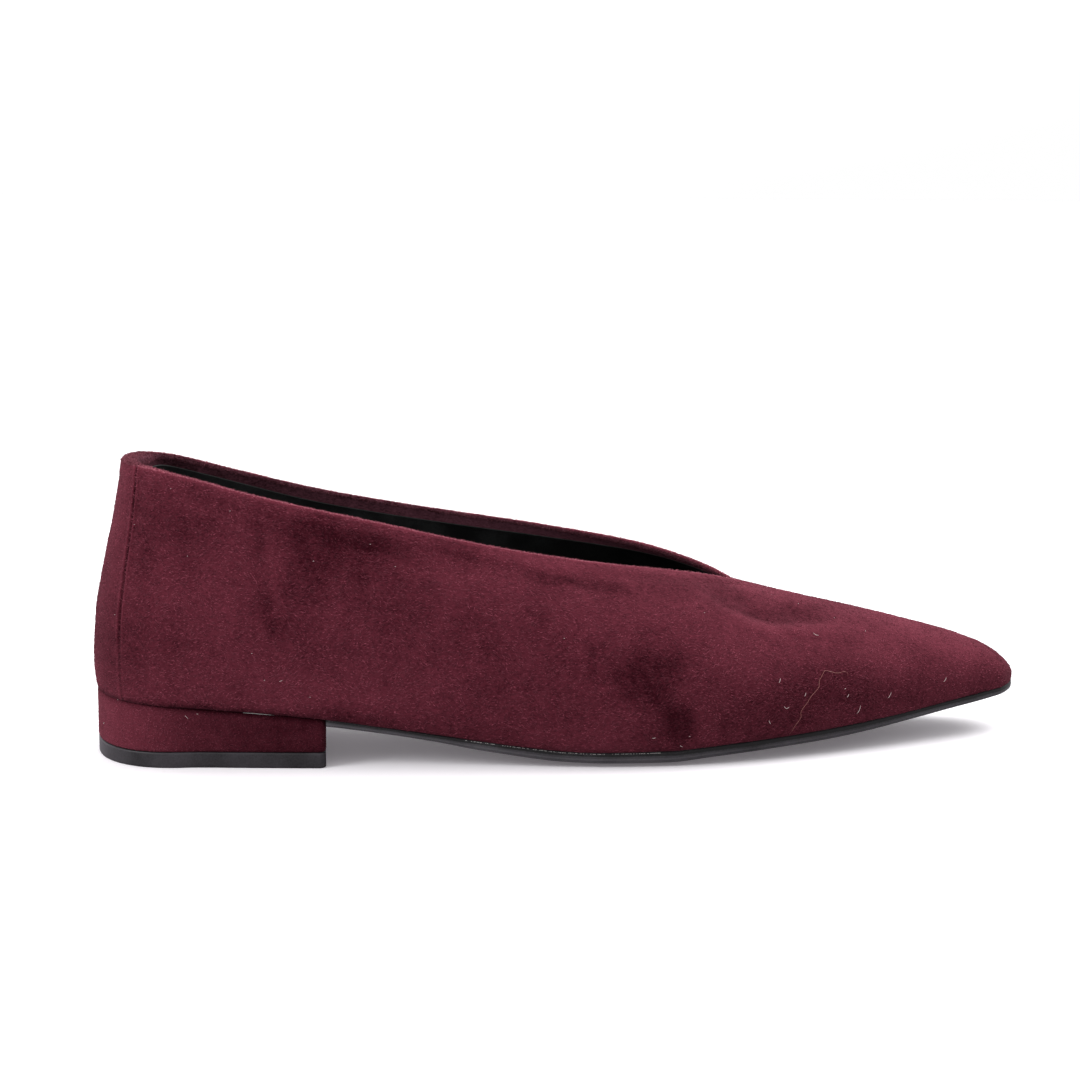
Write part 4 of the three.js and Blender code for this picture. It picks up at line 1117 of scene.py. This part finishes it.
def group_of(name, inputs, outputs):
    """An empty shader node group with its named inputs and outputs."""
    tree = bpy.data.node_groups.new(name, "ShaderNodeTree")
    for label, kind, value in inputs:
        socket = tree.interface.new_socket(label, in_out="INPUT", socket_type=kind)
        socket.default_value = value
    for label, kind in outputs:
        tree.interface.new_socket(label, in_out="OUTPUT", socket_type=kind)
    return tree, tree.nodes.new("NodeGroupInput"), tree.nodes.new("NodeGroupOutput")


FLOAT, COLOUR = "NodeSocketFloat", "NodeSocketColor"


def suede_group():
    """Nap of suede: short curling strokes along the shoe, fine grain and soft blotches move the
    tone between a dark and a light colour, and strokes and grain also give the height."""
    tree, given, result = group_of("suede nap", [
        ("Dark", COLOUR, (0, 0, 0, 1)), ("Light", COLOUR, (1, 1, 1, 1)), ("Nap and painted light", FLOAT, 0.0),
        ("Strokes", FLOAT, 0.5), ("Grain", FLOAT, 0.3), ("Blotches", FLOAT, 0.3)],
        [("Color", COLOUR), ("Roughness", FLOAT), ("Height", FLOAT)])
    place = add_node(tree, "ShaderNodeTexCoord").outputs["Object"]
    drift = add_node(tree, "ShaderNodeTexNoise", {"Vector": place, "Scale": 900.0, "Detail": 1.0})
    bent = add_node(tree, "ShaderNodeVectorMath", {0: drift.outputs["Color"], 3: 0.0011},
                    operation="SCALE").outputs[0]
    curled = add_node(tree, "ShaderNodeVectorMath", {0: place, 1: bent}, operation="ADD").outputs[0]
    strokes = noise(tree, stretched(tree, curled, (0.4, 1.0, 1.0)), 2300.0, 2.0, 0.55)
    grain = noise(tree, place, 5200.0, 2.0, 0.6)
    blotch = noise(tree, place, 75.0, 4.0, 0.55)
    patch = noise(tree, place, 330.0, 2.0, 0.5)
    tone = maths(tree, "MULTIPLY_ADD", maths(tree, "SUBTRACT", strokes, 0.5),
                 given.outputs["Strokes"], 0.5)
    tone = maths(tree, "MULTIPLY_ADD", maths(tree, "SUBTRACT", grain, 0.5),
                 given.outputs["Grain"], tone)
    tone = maths(tree, "MULTIPLY_ADD", maths(tree, "SUBTRACT", blotch, 0.5),
                 given.outputs["Blotches"], tone)
    small = maths(tree, "MULTIPLY", given.outputs["Blotches"], 0.8)
    tone = maths(tree, "MULTIPLY_ADD", maths(tree, "SUBTRACT", patch, 0.5), small, tone)
    tone = maths(tree, "ADD", tone, given.outputs["Nap and painted light"], clamp=True)
    colour = blend(tree, tone, given.outputs["Dark"], given.outputs["Light"])
    height = maths(tree, "MULTIPLY_ADD", grain, 0.5, strokes)
    tree.links.new(colour, result.inputs["Color"])
    tree.links.new(maths(tree, "MULTIPLY_ADD", tone, -0.1, 0.97), result.inputs["Roughness"])
    tree.links.new(height, result.inputs["Height"])
    return tree


def new_material(name):
    material = bpy.data.materials.new(name)
    material.use_nodes = True
    tree = material.node_tree
    shader = tree.nodes["Principled BSDF"]
    return material, tree, shader


def set_shader(shader, **values):
    for label, value in values.items():
        shader.inputs[label.replace("_", " ")].default_value = value


FACING_DARK, FACING_LIGHT = srgb(40, 17, 22), srgb(114, 69, 82)


def suede_material(name, group, dark, light, strokes, grain, blotches, bump):
    material, tree, shader = new_material(name)
    # This attribute holds the nap's tone together with painted shade and painted highlights
    nap_and_painted_light = add_node(tree, "ShaderNodeAttribute", attribute_name="nap_and_painted_light").outputs["Fac"]
    nap = tree.nodes.new("ShaderNodeGroup")
    nap.node_tree = group
    inside = add_node(tree, "ShaderNodeAttribute", attribute_name="inside").outputs["Fac"]
    tree.links.new(blend(tree, inside, dark, FACING_DARK), nap.inputs["Dark"])
    tree.links.new(blend(tree, inside, light, FACING_LIGHT), nap.inputs["Light"])
    for label, value in (("Strokes", strokes), ("Grain", grain), ("Blotches", blotches)):
        nap.inputs[label].default_value = value
    tree.links.new(nap_and_painted_light, nap.inputs["Nap and painted light"])
    raised = add_node(tree, "ShaderNodeBump", {
        "Height": nap.outputs["Height"], "Distance": bump, "Strength": 1.0}).outputs[0]
    tree.links.new(nap.outputs["Color"], shader.inputs["Base Color"])
    tree.links.new(nap.outputs["Roughness"], shader.inputs["Roughness"])
    tree.links.new(raised, shader.inputs["Normal"])
    set_shader(shader, Specular_IOR_Level=0.05, Sheen_Weight=0.12, Sheen_Roughness=0.5)
    shader.inputs["Sheen Tint"].default_value = srgb(236, 150, 170)
    return material


def plain_material(name, dark, light, roughness, scale, bump, coat=0.0):
    """Sock, lining and rubber: a fine grain moves colour, roughness and height a little."""
    material, tree, shader = new_material(name)
    place = add_node(tree, "ShaderNodeTexCoord").outputs["Object"]
    grain = noise(tree, place, scale, 3.0, 0.6)
    cloud = noise(tree, place, 90.0, 3.0, 0.5)
    # This mark holds painted shade and painted highlights: on the sole's edge, the heel lift and the
    # lining
    painted_light = add_node(tree, "ShaderNodeAttribute", attribute_name="painted_light").outputs["Fac"]
    tone = maths(tree, "MULTIPLY_ADD", maths(tree, "SUBTRACT", grain, 0.5), 0.7, cloud)
    tone = maths(tree, "ADD", tone, painted_light, clamp=True)
    tree.links.new(blend(tree, tone, dark, light), shader.inputs["Base Color"])
    rough = maths(tree, "MULTIPLY_ADD", maths(tree, "SUBTRACT", cloud, 0.5), 0.25, roughness)
    tree.links.new(rough, shader.inputs["Roughness"])
    raised = add_node(tree, "ShaderNodeBump", {"Height": grain, "Distance": bump}).outputs[0]
    tree.links.new(raised, shader.inputs["Normal"])
    set_shader(shader, Specular_IOR_Level=0.4, Coat_Weight=coat, Coat_Roughness=0.3)
    return material


def make_finishes():
    nap = suede_group()
    dark, light = srgb(44, 5, 15), srgb(117, 50, 64)
    MATERIALS["suede"] = suede_material("burgundy suede", nap, dark, light, 1.0, 0.7, 0.42, 0.00018)
    # The fibres' light colour is paler than the suede's: partly the fibres' own colour, partly a
    # painted highlight
    MATERIALS["nap"] = suede_material(
        "burgundy nap", nap, dark, srgb(150, 74, 90), 0.0, 0.2, 0.3, 0.00001)
    # Lighter copy of the nap for the topline: a painted highlight
    MATERIALS["nap_edge_highlight"] = suede_material(
        "topline nap highlight", nap, dark, srgb(204, 120, 136), 0.0, 0.2, 0.3, 0.00001)
    MATERIALS["heel_suede"] = suede_material(
        "heel cover suede", nap, dark, light, 0.45, 0.5, 0.3, 0.00012)
    MATERIALS["lint"] = plain_material(
        "pale lint", srgb(186, 158, 158), srgb(240, 222, 220), 0.7, 4000.0, 0.00001)
    MATERIALS["hair"] = plain_material(
        "brown hair", srgb(140, 76, 72), srgb(206, 146, 136), 0.45, 4000.0, 0.00001)
    MATERIALS["glue"] = plain_material(
        "dried glue", srgb(196, 198, 194), srgb(248, 248, 242), 0.25, 4000.0, 0.00001)
    MATERIALS["sock"] = plain_material(
        "black sock", srgb(8, 7, 9), srgb(20, 18, 21), 0.5, 3000.0, 0.00004)
    MATERIALS["lining"] = plain_material(
        "black lining", srgb(7, 6, 7), srgb(62, 64, 64), 0.5, 2600.0, 0.00003)
    MATERIALS["sole_rubber"] = plain_material(
        "sole rubber", srgb(14, 13, 15), srgb(92, 89, 94), 0.55, 2400.0, 0.00004)
    MATERIALS["heel_rubber"] = plain_material(
        "heel rubber", srgb(26, 24, 27), srgb(80, 76, 82), 0.5, 2400.0, 0.00003)


# Floor, light and camera
CAMERA_AT = (56.07, -599.96, 154.62)
CAMERA_PITCH, CAMERA_YAW, CAMERA_ROLL = 9.255, 6.349, 0.419
CAMERA_LENS = 73.19
FLOOR_SIZE = 40
FLOOR_GLOW = 0.135
FLOOR_BOUNCE = (0.46, 0.44, 0.46, 1)
SKY_LOW, SKY_RISE, BACKDROP = 0.12, 1.15, 0.9


def make_stage():
    mesh = bpy.data.meshes.new("floor")
    half = FLOOR_SIZE / 2
    corners = [(-half, -half, 0), (half, -half, 0), (half, half, 0), (-half, half, 0)]
    mesh.from_pydata(corners, [], [(0, 1, 2, 3)])
    floor = bpy.data.objects.new("floor", mesh)
    bpy.context.scene.collection.objects.link(floor)
    material, tree, shader = new_material("pale floor")
    set_shader(shader, Roughness=0.7, Specular_IOR_Level=0.1, Emission_Strength=FLOOR_GLOW)
    shader.inputs["Base Color"].default_value = (0.97, 0.95, 0.98, 1)
    shader.inputs["Emission Color"].default_value = (1, 0.92, 0.99, 1)
    dim = add_node(tree, "ShaderNodeBsdfDiffuse", {"Color": FLOOR_BOUNCE}).outputs[0]
    seen = add_node(tree, "ShaderNodeLightPath").outputs["Is Camera Ray"]
    mixed = add_node(tree, "ShaderNodeMixShader", {0: seen, 1: dim, 2: shader.outputs[0]}).outputs[0]
    tree.links.new(mixed, tree.nodes["Material Output"].inputs["Surface"])
    mesh.materials.append(material)


def area_light(name, place, aim, size, power):
    light = bpy.data.lights.new(name, "AREA")
    light.shape, light.size, light.energy = "DISK", size, power
    lamp = bpy.data.objects.new(name, light)
    lamp.location = place
    lamp.rotation_euler = (Vector(aim) - Vector(place)).to_track_quat("-Z", "Y").to_euler()
    bpy.context.scene.collection.objects.link(lamp)


def make_light():
    world = bpy.data.worlds.new("studio")
    bpy.context.scene.world = world
    world.use_nodes = True
    tree = world.node_tree
    sky = tree.nodes["Background"]
    sky.inputs["Color"].default_value = (1, 1, 1, 1)
    way = add_node(tree, "ShaderNodeTexCoord").outputs["Generated"]
    parts = add_node(tree, "ShaderNodeSeparateXYZ", {0: way}).outputs
    soft = maths(tree, "MULTIPLY_ADD", maths(tree, "MAXIMUM", parts["Z"], 0.0), SKY_RISE, SKY_LOW)
    soft = maths(tree, "MULTIPLY_ADD", maths(tree, "MAXIMUM", parts["Y"], 0.0), BACKDROP, soft)
    seen = add_node(tree, "ShaderNodeLightPath").outputs["Is Camera Ray"]
    tree.links.new(maths(tree, "MAXIMUM", soft, seen), sky.inputs["Strength"])
    area_light("left", (-1.1, -0.5, 0.7), (-0.05, 0, 0.03), 0.7, 9)
    area_light("top", (0.9, 0.25, 1.15), (0.05, 0, 0.03), 1.0, 13)


def make_camera():
    pitch, yaw, roll = np.radians([CAMERA_PITCH, CAMERA_YAW, CAMERA_ROLL])
    ahead = np.array([np.sin(yaw) * np.cos(pitch), np.cos(yaw) * np.cos(pitch), -np.sin(pitch)])
    right = np.array([np.cos(yaw), -np.sin(yaw), 0])
    above = np.cross(right, ahead)
    side = right * np.cos(roll) + above * np.sin(roll)
    above = above * np.cos(roll) - right * np.sin(roll)
    camera = bpy.data.objects.new("camera", bpy.data.cameras.new("camera"))
    camera.data.lens, camera.data.sensor_width = CAMERA_LENS, 36
    camera.data.clip_start = 0.01
    turned = Matrix([side, above, -ahead]).transposed().to_4x4()
    place = (np.array(CAMERA_AT) + SHIFT) * MM
    camera.matrix_world = Matrix.Translation(Vector(place)) @ turned
    bpy.context.scene.collection.objects.link(camera)
    bpy.context.scene.camera = camera


make_camera()
make_finishes()
suede = build_upper()
build_nap(suede)
build_lining()
build_insole()
build_outsole()
build_lint(suede, build_heel())
make_stage()
make_light()
bpy.context.scene.view_settings.view_transform = "Standard"
